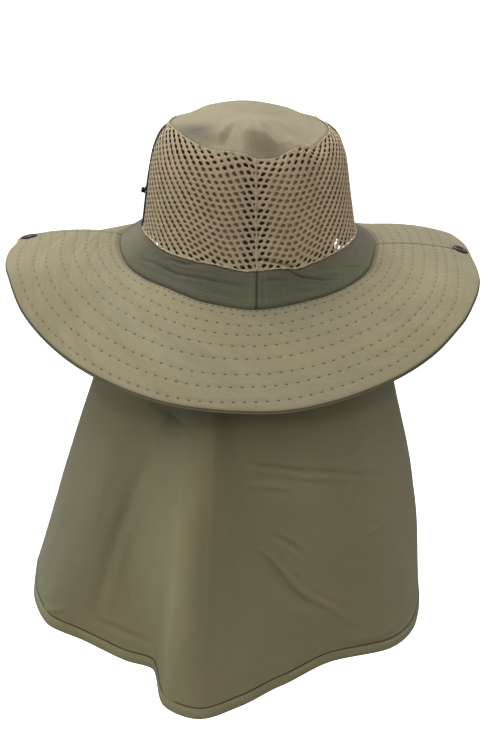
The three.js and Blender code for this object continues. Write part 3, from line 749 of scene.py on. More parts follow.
# Top panel

TIP_RINGS = 56
TIP_TURNS = 260


def tip_surface(azimuth, out, depth):
    rim = crown(azimuth, CROWN_TOP)
    a = np.radians(azimuth)
    edge_x = rim[..., 0] - 1.5 * GAP * np.cos(a)
    edge_y = rim[..., 1] - 1.5 * GAP * np.sin(a)
    x = edge_x * out
    y = edge_y * out
    fade = np.minimum(1, (1 - out * out) * 2.2)
    height = sum(h * bell(x - px, rx) * bell(y - py, ry) for px, py, rx, ry, h in TIP_ROWS)
    z = CROWN_TOP + (rim[..., 2] - CROWN_TOP) * out * out + 2.5 * (1 - out * out) + height * fade
    inside = (1 - out) * np.hypot(edge_x, edge_y)
    at = from_left(azimuth)
    share = FALL_AT["share"](at)
    steep = smooth(0, FALL_AT["width"](at), inside)
    gentle = smooth(0, FALL["width"], inside)
    place = ((x - FALL["x"]) / FALL["radius_x"]) ** 2 + ((y - FALL["y"]) / FALL["radius_y"]) ** 2
    z = z + FALL["height"] * np.exp(-place) * (share * steep + (1 - share) * gentle)
    pucker = 0.22 * np.sin(a * 46 + 2.2 * np.sin(a * 5)) * np.exp(-inside / 5) * smooth(0, 1.5, inside)
    z = z + pucker - 0.9 * bell(inside, 1.3)
    return np.stack([x, y, z - depth], -1)


def make_tip():
    outs = 1 - (1 - np.linspace(0, 1, TIP_RINGS)) ** 1.25
    outs = outs[1:, None]
    azimuth = np.linspace(0, 360, TIP_TURNS, endpoint=False)[None, :]
    top = tip_surface(azimuth, outs, 0.0)
    low = tip_surface(azimuth, outs, TIP)
    points = np.concatenate([top.reshape(-1, 3), low.reshape(-1, 3)])
    size = len(points) // 2
    # two small discs close the inner ends, with no wall between them
    faces = two_sided(top, True, (-1,)) + [list(range(TIP_TURNS)), list(range(size, size + TIP_TURNS))]
    cloth = points.copy()
    cloth[:, 2] = 0
    # painted shade where the cloth dips under the net's edge, then the listed painted shade and light
    tone = 1 - 0.25 * bell((1 - outs) * 60 + azimuth * 0, 1.6)
    for x, y, radius_x, radius_y, dark in TIP_PAINTED_SHADE:
        tone = tone * (1 - dark * bell(top[..., 0] - x, radius_x) * bell(top[..., 1] - y, radius_y))
    shade = np.concatenate([tone, tone])
    add_piece("top_panel", points, faces, TIP_CLOTH, cloth, shade, ["crown_tip"])


# Net

NET_PITCH = 4.5  # between holes of a row
NET_SHIFT = 1.8  # how far each row moves towards the seam
NET_ROW = 4.06  # between rows
NET_DROP = 0.29  # slope of the rows away from the seam
NET_DROP_TURN = 10.0  # how soon the rows take that slope
NET_CLOSER = 0.24  # how much closer together the rows lie at the sides
NET_CROWD = 3.0  # mm that rows crowd up towards the rim there
NET_WIDER = 0.46  # how much wider apart the columns stand there
HOLE_LONG = 1.85  # half axes of a hole
HOLE_SHORT = 1.02
HOLE_TURN = 20.0  # degrees that a hole leans near the seam
HOLE_SIDE_TURN = 6.0  # and how much more at the sides
MID_LEVEL = 45.0
SMALLEST_HOLE = 1.6  # square mm below which a cell stays closed
# Corners of a lattice cell, in sixths of a column and of a row
SIXTHS = [(4, 2), (3, 3), (2, 4), (0, 3), (-2, 2), (-3, 0),
          (-4, -2), (-3, -3), (-2, -4), (0, -3), (2, -2), (3, 0)]
CORNERS = len(SIXTHS)

WALL_LEVELS = np.linspace(NET_FOOT, CROWN_TOP, 300)
WALL_RUN = lengths_along(crown(BACK, WALL_LEVELS))
ARC_TURNS = np.linspace(0, 180, 1441)
ARC_RUN = lengths_along(crown(BACK + ARC_TURNS, MID_LEVEL)[:, :2])


def net_place(x, t, side):
    """Azimuth and level of a spot x along the wall from the back seam and t up it."""
    level = np.interp(t, WALL_RUN, WALL_LEVELS)
    scale = LEVEL["half_x"](level) / LEVEL["half_x"](MID_LEVEL)
    turn = np.interp(x / scale, ARC_RUN, ARC_TURNS)
    return BACK + side * turn, level


def wall_end(t):
    """Distance along the wall from the back seam to the front one, t up the wall."""
    level = np.interp(t, WALL_RUN, WALL_LEVELS)
    return ARC_RUN[-1] * LEVEL["half_x"](level) / LEVEL["half_x"](MID_LEVEL)


def sideness(x):
    """From 0 near the back seam to 1 at the sides."""
    return smooth(16, 56, x)


def net_spot(i, j):
    """Spot of the lattice's column i and row j: x from the back seam, t up the wall."""
    x = 2.9 + NET_PITCH * i - NET_SHIFT * j
    x = x + NET_WIDER * (np.hypot(x - 30, 15) + x - 30) / 2
    drop = NET_DROP * (np.sqrt(x * x + NET_DROP_TURN**2) - NET_DROP_TURN)
    below = 2.4 + NET_ROW * (1 - NET_CLOSER * sideness(x)) * j + drop
    crowding = NET_CROWD * sideness(x) * (1 - np.exp(-np.maximum(below, -6) / 12))
    return x, WALL_RUN[-1] - below + crowding


# A small tuck across the net, just over the band: azimuths and levels along it
NET_TUCK = Curve((-89, -87, -83, -78, -72.5, -68, -66), (22.0, 21.2, 19.5, 17.6, 16.2, 15.6, 15.3))


def net_tuck(azimuth, level):
    """How far the tuck pulls the net in."""
    at = np.clip(azimuth, -89, -66)
    fade = smooth(-90, -86, azimuth) * (1 - smooth(-70, -66, azimuth))
    return 1.1 * fade * bell(np.asarray(level) - NET_TUCK(at), 0.9)


def net_panel(name, side, node):
    rng = np.random.default_rng(11 if side > 0 else 12)
    top = WALL_RUN[-1]
    spots = []
    codes = {}

    def corner(p, q):
        if (p, q) not in codes:
            codes[p, q] = len(spots)
            x, t = net_spot(p / 6, q / 6)
            wander = rng.normal(0, 0.13, 2)
            spots.append((x + wander[0], t + wander[1]))
        return codes[p, q]

    cells = []
    for j in range(-34, 30):
        for i in range(-12, 90):
            x, t = net_spot(i, j)
            if not -2.0 < t < top + 2.0 or not -2.2 <= x <= wall_end(t) + 2.2:
                continue
            ring = [corner(6 * i + p, 6 * j + q) for p, q in SIXTHS]
            size = rng.normal(1, 0.07) * (1 - 0.08 * sideness(x)) * (1 - 0.1 * bell(x - 25, 14))
            cells.append((x, t, ring, size, rng.normal(0, 0.12)))
    spots = np.array(spots)

    def clamp(xy, margin):
        t = np.clip(xy[:, 1], margin, top - margin)
        return np.stack([np.clip(xy[:, 0], margin, wall_end(t) - margin), t], -1)

    crest = clamp(spots, 0.05)
    count = len(crest)
    flat = [crest, crest]
    depths = [np.zeros(count), np.full(count, NET)]
    start = 2 * count
    front_faces = []
    back_faces = []
    other_faces = []
    stores = (front_faces, other_faces, other_faces, back_faces)
    for x, t, ring, size, twist in cells:
        outer = crest[ring]
        if np.ptp(outer[:, 0]) < 0.25 or np.ptp(outer[:, 1]) < 0.25:
            continue
        reach = spots[ring] - (x, t)
        lean = math.radians(HOLE_TURN + HOLE_SIDE_TURN * sideness(x) * smooth(0, 20, top - t))
        angle = np.arctan2(reach[:, 1], reach[:, 0]) - lean - twist
        long = HOLE_LONG * (1 + 0.12 * sideness(x))
        far = long * HOLE_SHORT / np.hypot(HOLE_SHORT * np.cos(angle), long * np.sin(angle))
        hole = clamp((x, t) + unit(reach) * (far * size)[:, None], 0.45)
        after = np.roll(hole, 1, 0)
        area = 0.5 * abs(np.dot(hole[:, 0], after[:, 1]) - np.dot(hole[:, 1], after[:, 0]))
        back = [index + count for index in ring]
        if area < SMALLEST_HOLE:
            centre = outer.mean(0)
            flat.append(np.stack([centre, centre]))
            depths.append(np.array([0.0, NET]))
            for k in range(CORNERS):
                n = (k + 1) % CORNERS
                front_faces.append([ring[k], ring[n], start])
                back_faces.append([back[n], back[k], start + 1])
            start += 2
            continue
        flat += [hole + (outer - hole) * 0.45, hole, hole + (outer - hole) * 0.8]
        depths += [np.full(CORNERS, depth) for depth in (0.1, NET * 0.34, NET - 0.1)]
        rings = [ring, *np.arange(start, start + 3 * CORNERS).reshape(3, CORNERS).tolist(), back]
        for near, next_ring, store in zip(rings[:-1], rings[1:], stores):
            for k in range(CORNERS):
                n = (k + 1) % CORNERS
                store.append([near[k], near[n], next_ring[n], next_ring[k]])
        start += 3 * CORNERS
    flat = np.concatenate(flat)
    depths = np.concatenate(depths)
    uses = {}
    for face in front_faces:
        for a, b in zip(face, face[1:] + face[:1]):
            if a < count and b < count:
                uses.setdefault((min(a, b), max(a, b)), []).append((a, b))
    single = [pairs[0] for pairs in uses.values() if len(pairs) == 1]
    rim = [[b, a, a + count, b + count] for a, b in single]
    azimuth, level = net_place(flat[:, 0], flat[:, 1], side)
    tuck = net_tuck(azimuth, level)
    points = crown(azimuth, level, depths + tuck)
    cloth = np.stack([flat[:, 0] * side, flat[:, 1], depths], -1)
    # painted shade deeper in the holes and along the tuck; painted shade on the left panel, painted light on
    # the right one and towards the sides
    shade = (1.0 - 0.25 * smooth(0.1, NET, depths)) * (1 - 0.6 * bell(tuck - 1.1, 0.5))
    shade *= (0.97 + 0.065 * side) * (1 + 0.16 * smooth(25, 60, flat[:, 0]))
    faces = front_faces + other_faces + back_faces + rim
    add_piece(name, points, faces, NET_YARN, cloth, shade, [node])


def wavy(count, seed, smoothing=3):
    """Smooth seeded noise around 0 for a closed line of `count` points."""
    rng = np.random.default_rng(seed)
    values = rng.normal(0, 1, count)
    kernel = bell(np.arange(-3 * smoothing, 3 * smoothing + 1), smoothing)
    kernel /= np.sqrt((kernel**2).sum())
    wide = np.concatenate([values[-3 * smoothing:], values, values[:3 * smoothing]])
    return np.convolve(wide, kernel, "valid")


RIM_SIDES = 8  # of the tubes round the top and the foot of the net
SEAM_SIDES = 10  # and of those down its seams


def make_net_edges():
    """The bound edges of the net: round the top, round the foot, and down both seams."""
    azimuth = np.linspace(-180, 180, 720, endpoint=False)
    rows = [("net_rim", CROWN_TOP - 0.5, 0.25, 0.34, 21), ("net_foot", NET_FOOT + 0.1, 0.2, 0.42, 22)]
    for name, level, depth, radius, seed in rows:
        noise = wavy(len(azimuth), seed, 2)
        path = crown(azimuth, level, depth + 0.14 * wavy(len(azimuth), seed + 5, 2))
        path[:, 2] += 0.18 * noise
        points, faces = tube(path, radius * (1 + 0.22 * noise), RIM_SIDES, closed=True)
        run = np.repeat(lengths_along(path), RIM_SIDES)
        around = np.tile(np.arange(RIM_SIDES), len(path))
        cloth = np.stack([run, around * 0.5, run * 0], -1)
        # painted light: the edge cords are lit paler than the net's yarn, by a random amount along them
        shade = np.repeat(1.28 + 0.16 * wavy(len(azimuth), seed + 9, 2), RIM_SIDES)
        add_piece(name, points, faces, NET_YARN, cloth, shade)
    levels = np.linspace(NET_FOOT, CROWN_TOP, 220)
    for name, at, seed in (("net_seam_back", BACK, 31), ("net_seam_front", FRONT, 32)):
        wander = 0.10 * wavy(len(levels), seed, 4)
        path = crown(at + wander / 1.4, levels, 0.15 + wander * 0.6)
        radius = 0.8 * (1 + 0.16 * wavy(len(levels), seed + 3, 2))
        points, faces = tube(path, radius, SEAM_SIDES, up=(0, math.sin(math.radians(at)), 0.0))
        run = np.repeat(levels, SEAM_SIDES)
        cloth = np.stack([np.tile(np.arange(SEAM_SIDES), len(levels)) * 0.5, run, run * 0], -1)
        shade = np.repeat(1 - 0.35 * smooth(0.3, 1.2, wavy(len(levels), seed + 9, 2)), SEAM_SIDES)
        add_piece(name, points, faces, NET_YARN, cloth, shade)


# Lining and inner tapes

LINING_TOP = 77.0
LINING_FOOT = 14.4
# Places where the lining's foot gapes and daylight shows: azimuth, half width, foot level
LINING_GAPES = [(-155, 3.0, 18.5), (-37.5, 3.5, 26.5)]


def lining_foot(azimuth):
    foot = np.full(np.shape(azimuth), LINING_FOOT)
    for at, half, level in LINING_GAPES:
        foot = foot + (level - LINING_FOOT) * bell(turn_between(azimuth, at), half) ** 2
    return foot


def make_lining():
    azimuth = np.linspace(-180, 180, 400, endpoint=False)
    a, share = np.meshgrid(azimuth, np.linspace(0, 1, 32) ** 1.5)
    foot = lining_foot(a)
    l = foot + (LINING_TOP - foot) * share
    slack = 0.2 * np.sin(np.radians(a) * 9 + 0.06 * l) + 0.15 * np.sin(np.radians(a) * 17 - 0.1 * l)
    run = np.radians(a) * 78
    cloth = np.stack([run, l, run * 0], -1)
    # painted shade: the lining darkens towards its foot and its top, behind the net's lowest and highest
    # holes
    shade = 1 - 0.8 * (1 - smooth(18.0, 20.5, l)) - 0.5 * smooth(74, 77, l)
    add_wall("crown_inner_cloth", crown(a, l, 2.5 + slack), crown(a, l, 3.2 + slack), LINING_CLOTH,
             cloth, shade, "crown_lining", wrap=True)


def strip_depth(side, level):
    """Depth of a side strip's outer face; the left strip thins towards its top."""
    if side == "left":
        return -0.9 + 0.55 * smooth(40, 62, level)
    return np.full(np.shape(level), -0.9)


def crown_tape(name, at, half, outer, inner, low, high, node):
    """A woven tape up the crown with rounded edges; `outer` is its depth by level."""
    u, l = np.meshgrid(np.linspace(-1, 1, 21), np.linspace(low, high, 70))
    roll = 0.35 * smooth(0.8, 1.0, np.abs(u)) ** 2
    rib = 0.06 * np.cos(u * math.pi * 5)
    face = crown(at + half * u, l, outer(l) + roll - rib)
    lower = crown(at + half * u, l, inner - roll * 0.5)
    cloth = np.stack([u * half * 1.25, l, u * 0], -1)
    # painted shade on the tape's rolled edges
    shade = 1 - 0.3 * smooth(0.85, 1.0, np.abs(u))
    add_wall(name, face, lower, TAPE_CLOTH, cloth, shade, node)


def skin_line(azimuth, level, depth, inside):
    """A line on the crown at a depth, and its normals, away from a line `inside` it."""
    line = crown(azimuth, level, depth)
    return line, unit(line - crown(azimuth, level, inside))


SIDE_TAPES = {
    "left": {"at": 177.0, "half": 5.0, "stud": 177.0},
    "right": {"at": 14.0, "half": 6.0, "stud": 17.0},
}
STUD_PROFILE = round_profile([(0.01, 0), (2.6, 0), (2.6, 0.5), (1.7, 0.75), (1.8, 1.1), (2.15, 1.5),
                              (2.15, 2.3), (1.5, 2.85), (0.01, 2.95)])


def make_tapes():
    for name, at in (("back", BACK), ("front", FRONT)):
        crown_tape(f"inner_tape_{name}", at, 6.8, lambda level: 1.2 + 0 * level, 1.9, 15, 80,
                   f"seam_tape_{name}")
    for side, tape in SIDE_TAPES.items():
        crown_tape(f"side_strip_{side}", tape["at"], tape["half"], lambda level: strip_depth(side, level),
                   -0.1, 15.4, 84.0, f"side_tape_{side}")
        levels = np.linspace(16.5, 83.0, 200)
        depth = strip_depth(side, levels)
        lines = [skin_line(tape["at"] + tape["half"] * edge, levels, depth, NET) for edge in (-0.8, 0.8)]
        points, faces = stitches(lines, 2.6, 2.0, 0.22, 0.02)
        add_piece(f"side_strip_stitching_{side}", points, faces, THREAD)
        foot, axis = skin_line(tape["stud"], STUD_LEVEL, -0.95, NET)
        points, faces = turned(STUD_PROFILE, 28, foot, axis)
        add_piece(f"side_stud_{side}", points, faces, STUD_METAL, None, None, [f"stud_{side}"])


# Band

BAND_LINES = 38
BAND_TURNS = 350

# Creases in the band: width, height (below 0 is a valley), painted shade, and points
# as (azimuth, level)
BAND_CREASES = [
    (1.2, -1.0, 0.4, [(-152, 5.2), (-145, 6.8), (-137.5, 6.8), (-130.8, 6.2), (-122.8, 7.2), (-112.5, 7.8),
     (-102.8, 8.2), (-93, 8)]),
    (1.2, 0.8, 0, [(-138, 9.5), (-127, 9.8), (-118.8, 10.8), (-104, 11.2)]),
    (1.0, -0.8, 0.35, [(-139, 11.2), (-127.8, 11.5), (-118.5, 13.8)]),
    (1.4, 0.6, 0, [(-112, 5.0), (-104, 5.6), (-96, 5.2)]),
    (0.9, -1.3, 0.5, [(-77, 14), (-72.8, 13), (-68, 10.2), (-63, 8.2), (-58.2, 6.2), (-50, 4)]),
    (1.2, -0.6, 0.2, [(-90, 9), (-83.5, 9.8), (-78.5, 9.5), (-73, 8.5)]),
    (0.7, -0.6, 0.3, [(-42, 6.5), (-34, 3.8)]),
    (1.3, 0.9, 0, [(-60, 9), (-45, 5.2)]),
    (1.3, 0.5, 0, [(-72, 5.5), (-66, 4.6), (-60, 3.4)]),
    (1.2, -0.5, 0, [(-30, 6), (-12, 8), (5, 9)]),
    (1.2, -0.6, 0, [(40, 9), (58, 8), (75, 6.5)]),
    (1.2, -0.6, 0, [(100, 6), (114, 8), (128, 9.5)]),
    (1.2, -0.5, 0, [(150, 9), (161, 8), (172, 6)]),
]
BAND_ROWS = (2.7, 12.7)  # levels of its two rows of stitches
BAND_FACE = -0.35  # depth of its outer face
BAND_FOOT = -0.4  # level where it turns down to the brim
# Painted shade on parts of the band, and painted light below 0: azimuth, width and darkening
BAND_PAINTED_SHADE = [(-146, 20, 0.28), (-178, 14, -0.3), (-34, 22, -0.2), (-78, 14, 0.1), (-112, 13, 0.14)]


def band_relief(azimuth, level):
    """Push of the band's cloth along its normal, and its painted shade."""
    azimuth, level = np.broadcast_arrays(np.asarray(azimuth, float), np.asarray(level, float))
    push, tone = creased(crown(azimuth, level), BAND_CREASES, crown)
    wave = 0.3 * np.sin(np.radians(azimuth) * 7 + level * 0.35) * np.sin(level / BAND_TOP * math.pi)
    return push + wave, tone


def make_band():
    levels = np.concatenate([[-2.4, -1.4], np.linspace(BAND_FOOT, BAND_TOP + 0.35, BAND_LINES)])
    for side, name in ((-1, "left"), (1, "right")):
        u = np.linspace(0, 1, BAND_TURNS)
        azimuth = BACK + side * 180 * u
        a, l = np.meshgrid(azimuth, levels)
        seam = np.minimum(np.abs(turn_between(a, BACK)), np.abs(turn_between(a, FRONT))) * 1.55
        push, painted = band_relief(a, l)
        push = push * smooth(0.2, 6, seam) - 0.8 * bell(seam, 0.7) + 0.25 * bell(seam - 2.2, 1.4)
        fold = smooth(BAND_TOP - 1.2, BAND_TOP + 0.35, l)
        foot = 1 - smooth(BAND_FOOT, 1.1, l)
        row = sum(0.2 * bell(l - level, 0.5) for level in BAND_ROWS)
        outer = crown(a, np.maximum(l, BAND_FOOT), BAND_FACE - push + 1.1 * fold**2 + 0.5 * foot**2 + row)
        inner = crown(a, np.maximum(l, BAND_FOOT), BAND - 0.2 - 0.7 * foot)
        outer[..., 2] += np.minimum(l - BAND_FOOT, 0)
        inner[..., 2] += np.minimum(l - BAND_FOOT, 0)
        cloth = np.stack([np.radians(a) * 82, l * 1.2, a * 0], -1)
        # painted shade and light by azimuth; painted shade in the creases, the seam grooves, at the foot by
        # the brim, under the folded top edge, and a little on the inner skin
        painted_side_shade = 1 - sum(dark * bell(turn_between(a, at), width) for at, width, dark in BAND_PAINTED_SHADE)
        tone = painted_side_shade * painted * (1 - 0.6 * bell(seam, 0.8) - 0.35 * foot - 0.3 * fold)
        add_wall(f"band_cloth_{name}", outer, inner, BAND_CLOTH, cloth, tone, f"band_{name}",
                 inside=0.9)
    around = np.linspace(-180, 180, 1200)
    up = np.linspace(1.0, BAND_TOP - 0.8, 60)
    paths = [(around, level) for level in BAND_ROWS] + [(BACK + offset, up) for offset in (-2.6, 4.4)]
    lines = [skin_line(*path, BAND_FACE - band_relief(*path)[0], BAND) for path in paths]
    points, faces = stitches(lines, 3.3, 2.5, 0.2, 0.08)
    add_piece("band_stitching", points, faces, BAND_THREAD)


# Brim

STITCH_PITCH = 7.1
# Rows of stitches from the seam to the rim, as shares of the brim's reach
STITCH_ROWS = [0.093, 0.211, 0.316, 0.429, 0.553, 0.693, 0.799, 0.92]
TOPSTITCH_OUT = 0.034
TOPSTITCH_PITCH = 4.2
# Section of the rim: place from the edge, depth, and painted shade
RIM_SECTION = [
    (-0.95, 0.1, 1.0),
    (-0.7, 0.4, 1.0),
    (-0.68, 0.8, 0.95),
    (-0.9, 1.1, 0.7),
    (-1.4, 1.25, 0.35),
    (-0.6, 1.4, 0.35),
    (-0.1, 1.65, 0.42),
    (0.0, 2.0, 0.42),
    (-0.2, 2.4, 0.4),
    (-0.8, 2.6, 0.5),
]
TOP_END = 1 - 1.25 / MEAN_REACH  # where the brim's upper cloth ends

# How far in the stitch rows lie, as shares of their usual place
ROW_BEND = Curve(
    (-190, -175, -160, -145, -125, -107, -90, -71, -50, -36, -25, -12, 0, 20, 45, 140, 170),
    (0.975, 0.97, 0.985, 1.0, 1.02, 1.03, 1.0, 0.98, 0.97, 0.94, 0.885, 0.855, 0.86, 0.95, 1.0, 1.0, 0.975),
)


def row_out(row, azimuth):
    """Place of a stitch row, which wanders a little round the brim."""
    dip = 0.05 * bell(row - 0.72, 0.17) * bell(turn_between(azimuth, -170), 9)
    return row * ROW_BEND(from_left(azimuth)) - dip


ROW_AZIMUTHS = np.linspace(-180, 180, 2881)


def brim_rows():
    """Each stitch row with its azimuths, its running length and its stitch pitch."""
    rows = []
    for n, row in enumerate([TOPSTITCH_OUT, *STITCH_ROWS]):
        line = brim(ROW_AZIMUTHS, row_out(row, ROW_AZIMUTHS))
        run = lengths_along(line)
        pitch = TOPSTITCH_PITCH if n == 0 else STITCH_PITCH
        count = round(run[-1] / pitch)
        rows.append({"row": row, "run": run, "pitch": run[-1] / count, "phase": 0.37 * n})
    return rows


ROWS = brim_rows()


def brim_relief(azimuth, out):
    """Depth that the stitch rows pull into the brim, and the painted shade of their grooves and needle holes.
    """
    at = (azimuth + 180) % 360 - 180
    reach = BRIM_AT["reach"](at)
    sink = np.zeros_like(at)
    dark = np.zeros_like(at)
    for row in ROWS:
        across = (out - row_out(row["row"], at)) * reach
        near = np.abs(across) < 4
        run = np.interp(at[near], ROW_AZIMUTHS, row["run"])
        along = ((run / row["pitch"] + row["phase"]) % 1 - 0.5) * row["pitch"]
        groove = bell(across[near], 1.0)
        hole = bell(across[near], 0.75) * bell(along, 1.0)
        sink[near] += 0.16 * groove + 0.4 * hole - 0.06 * bell(np.abs(across[near]) - 2.4, 1.2)
        dark[near] += 0.06 * bell(across[near], 0.6) + 0.25 * bell(across[near], 0.65) * bell(along, 0.95)
    return sink, dark


def brim_outs():
    """Places across the brim's upper side."""
    outs = np.linspace(0, 1, 105).round(4)
    return np.array([*outs[outs < TOP_END - 0.004], TOP_END])


# Painted light and shade on the brim's cloth, by azimuth
BRIM_PAINTED_LIGHT = Curve((-190, -165, -145, -115, -90, -60, -40, -15, 10, 170),
                  (1.0, 1.03, 1.02, 0.98, 0.95, 0.96, 0.955, 0.99, 1.0, 1.0))


def soft_waves(azimuth, out):
    """Long shallow waves of the brim that grow towards the rim."""
    a = np.radians(azimuth)
    return out * (0.5 * np.sin(a * 6 + 0.7) + 0.35 * np.sin(a * 11 - 1.1 + 2 * out))


def brim_half(name, start, end, turns, node):
    """One half of the brim, between two seams that are azimuths at each place out."""
    tops = brim_outs()
    lows = np.linspace(TOP_END, 0, 20)
    u = np.linspace(0, 1, turns)[:, None]

    def azimuths(outs):
        return start(outs)[None, :] * (1 - u) + end(outs)[None, :] * u

    a_top = azimuths(tops)
    o_top = np.broadcast_to(tops, a_top.shape)
    sink, dark = brim_relief(a_top, o_top)
    from_seam = np.minimum(a_top - a_top[:1], a_top[-1:] - a_top) * (90 + 75 * o_top) * math.pi / 180
    roll = 0.7 * bell(from_seam, 1.0)
    tuck = 1.2 * bell(o_top * BRIM_AT["reach"](0), 1.4)
    top = brim(a_top, o_top, sink + roll + tuck)
    top[..., 2] += soft_waves(a_top, o_top)
    rim_az = azimuths(np.array([TOP_END]))
    rim = np.stack([brim(rim_az[:, 0], 1 + past / MEAN_REACH, depth)
                    for past, depth, _ in RIM_SECTION], 1)
    rim[..., 2] += soft_waves(rim_az, np.ones(1))
    a_low = azimuths(lows)
    o_low = np.broadcast_to(lows, a_low.shape)
    low = brim(a_low, o_low, BRIM)
    low[..., 2] += soft_waves(a_low, o_low)
    grid = np.concatenate([top, rim, low[:, 1:]], 1)
    outs = np.concatenate([o_top, np.ones((turns, len(RIM_SECTION))), o_low[:, 1:]], 1)
    azimuth = np.concatenate([a_top, np.repeat(rim_az, len(RIM_SECTION), 1), a_low[:, 1:]], 1)
    radius = MEAN_SEAM + MEAN_REACH * outs
    cloth = np.stack([np.radians(azimuth) * radius, outs * MEAN_REACH, outs * 0], -1)
    # painted shade in the stitch rows, in the side seams' grooves and along the inner edge by the band, a
    # painted light line beside each seam, and painted light and shade by azimuth
    shade_top = 1 - np.minimum(dark, 0.6) - 0.42 * bell(from_seam, 1.1)
    shade_top += 0.1 * bell(from_seam - 3.0, 1.0) - 0.35 * bell(o_top * MEAN_REACH, 1.6)
    shade_top *= BRIM_PAINTED_LIGHT(from_left(a_top))
    shade_rim = np.broadcast_to([tone for _, _, tone in RIM_SECTION], rim.shape[:2])
    # painted shade on the brim's underside
    shade_low = np.full(low[:, 1:].shape[:2], 0.8)
    shade = np.concatenate([shade_top, shade_rim, shade_low], 1)
    faces = capped_faces(turns, grid.shape[1])
    add_piece(name, grid, faces, BRIM_CLOTH, cloth, shade, [node])


def make_brim():
    brim_half("brim_cloth_back", lambda out: left_seam(out) - 360, right_seam, 580, "brim_back")
    brim_half("brim_cloth_front", right_seam, left_seam, 360, "brim_front")
    lines = {"long": [], "short": []}
    for row in ROWS:
        outs = row_out(row["row"], ROW_AZIMUTHS)
        line = brim(ROW_AZIMUTHS, outs, 0.45)
        line[:, 2] += soft_waves(ROW_AZIMUTHS, outs)
        ahead = np.gradient(line, axis=0)
        outward = brim(ROW_AZIMUTHS, outs + 0.02) - brim(ROW_AZIMUTHS, outs - 0.02)
        normal = unit(np.cross(outward, ahead))
        first = (0.5 - row["phase"]) % 1
        run = row["run"]
        places = (np.arange(int(run[-1] / row["pitch"])) + first) * row["pitch"]
        kind = "short" if row["pitch"] < 6 else "long"
        lines[kind].append((line, normal, run, places))
    for kind, length, radius in (("long", 2.3, 0.42), ("short", 1.5, 0.3)):
        points, faces = stitches_at(lines[kind], length, radius)
        # painted light: the brim's stitches are lit paler towards the sides and stay dark at the back
        around = np.degrees(np.arctan2(points[:, 1], points[:, 0]))
        painted_light_at_sides = 1 + 1.6 * smooth(25, 75, np.abs(turn_between(around, BACK)))
        add_piece(f"brim_stitching_{kind}", points, faces, THREAD, None, painted_light_at_sides)


def stitches_at(rows, length, radius):
    """Threads at given places of lines of (points, normals, running length, places)."""
    segments = []
    for line, normal, run, places in rows:
        for place in places:
            ends = place + np.array([-length, 0.0, length])
            segments.append((sampled(line, run, ends), sampled(normal, run, ends)))
    return stitches(segments, 2 * length, length, radius)


SOCKET_SIDES = 40


def make_snaps():
    profile = round_profile([(0.01, 0.0), (SNAP_RADIUS, 0.0), (SNAP_RADIUS, 0.5), (4.9, 1.25), (3.4, 1.3),
                             (2.8, 0.7), (1.3, 0.6), (0.9, 0.9), (0.01, 0.95)])
    for side, seam in (("left", left_seam), ("right", right_seam)):
        at = seam(SNAP_OUT)
        foot = brim(at, SNAP_OUT)
        foot[2] += soft_waves(at, SNAP_OUT)
        along = brim(at + 2, SNAP_OUT) - brim(at - 2, SNAP_OUT)
        outward = brim(at, SNAP_OUT + 0.04) - brim(at, SNAP_OUT - 0.04)
        axis = np.cross(outward, along)
        axis *= np.sign(axis[2]) / np.linalg.norm(axis)
        points, faces = turned(profile, SOCKET_SIDES, foot + axis * 0.05, axis)
        worn = np.repeat([2.0 if h > 1.0 else 1.0 for _, h in profile], SOCKET_SIDES)
        add_piece(f"snap_socket_{side}", points, faces, SNAP_METAL, None, worn, [f"brim_snap_{side}"])


# Flap

FLAP_ACROSS = 265
FLAP_DOWN = 146
FLAP_HIDDEN = 0.26  # share of its height that the brim hides from behind
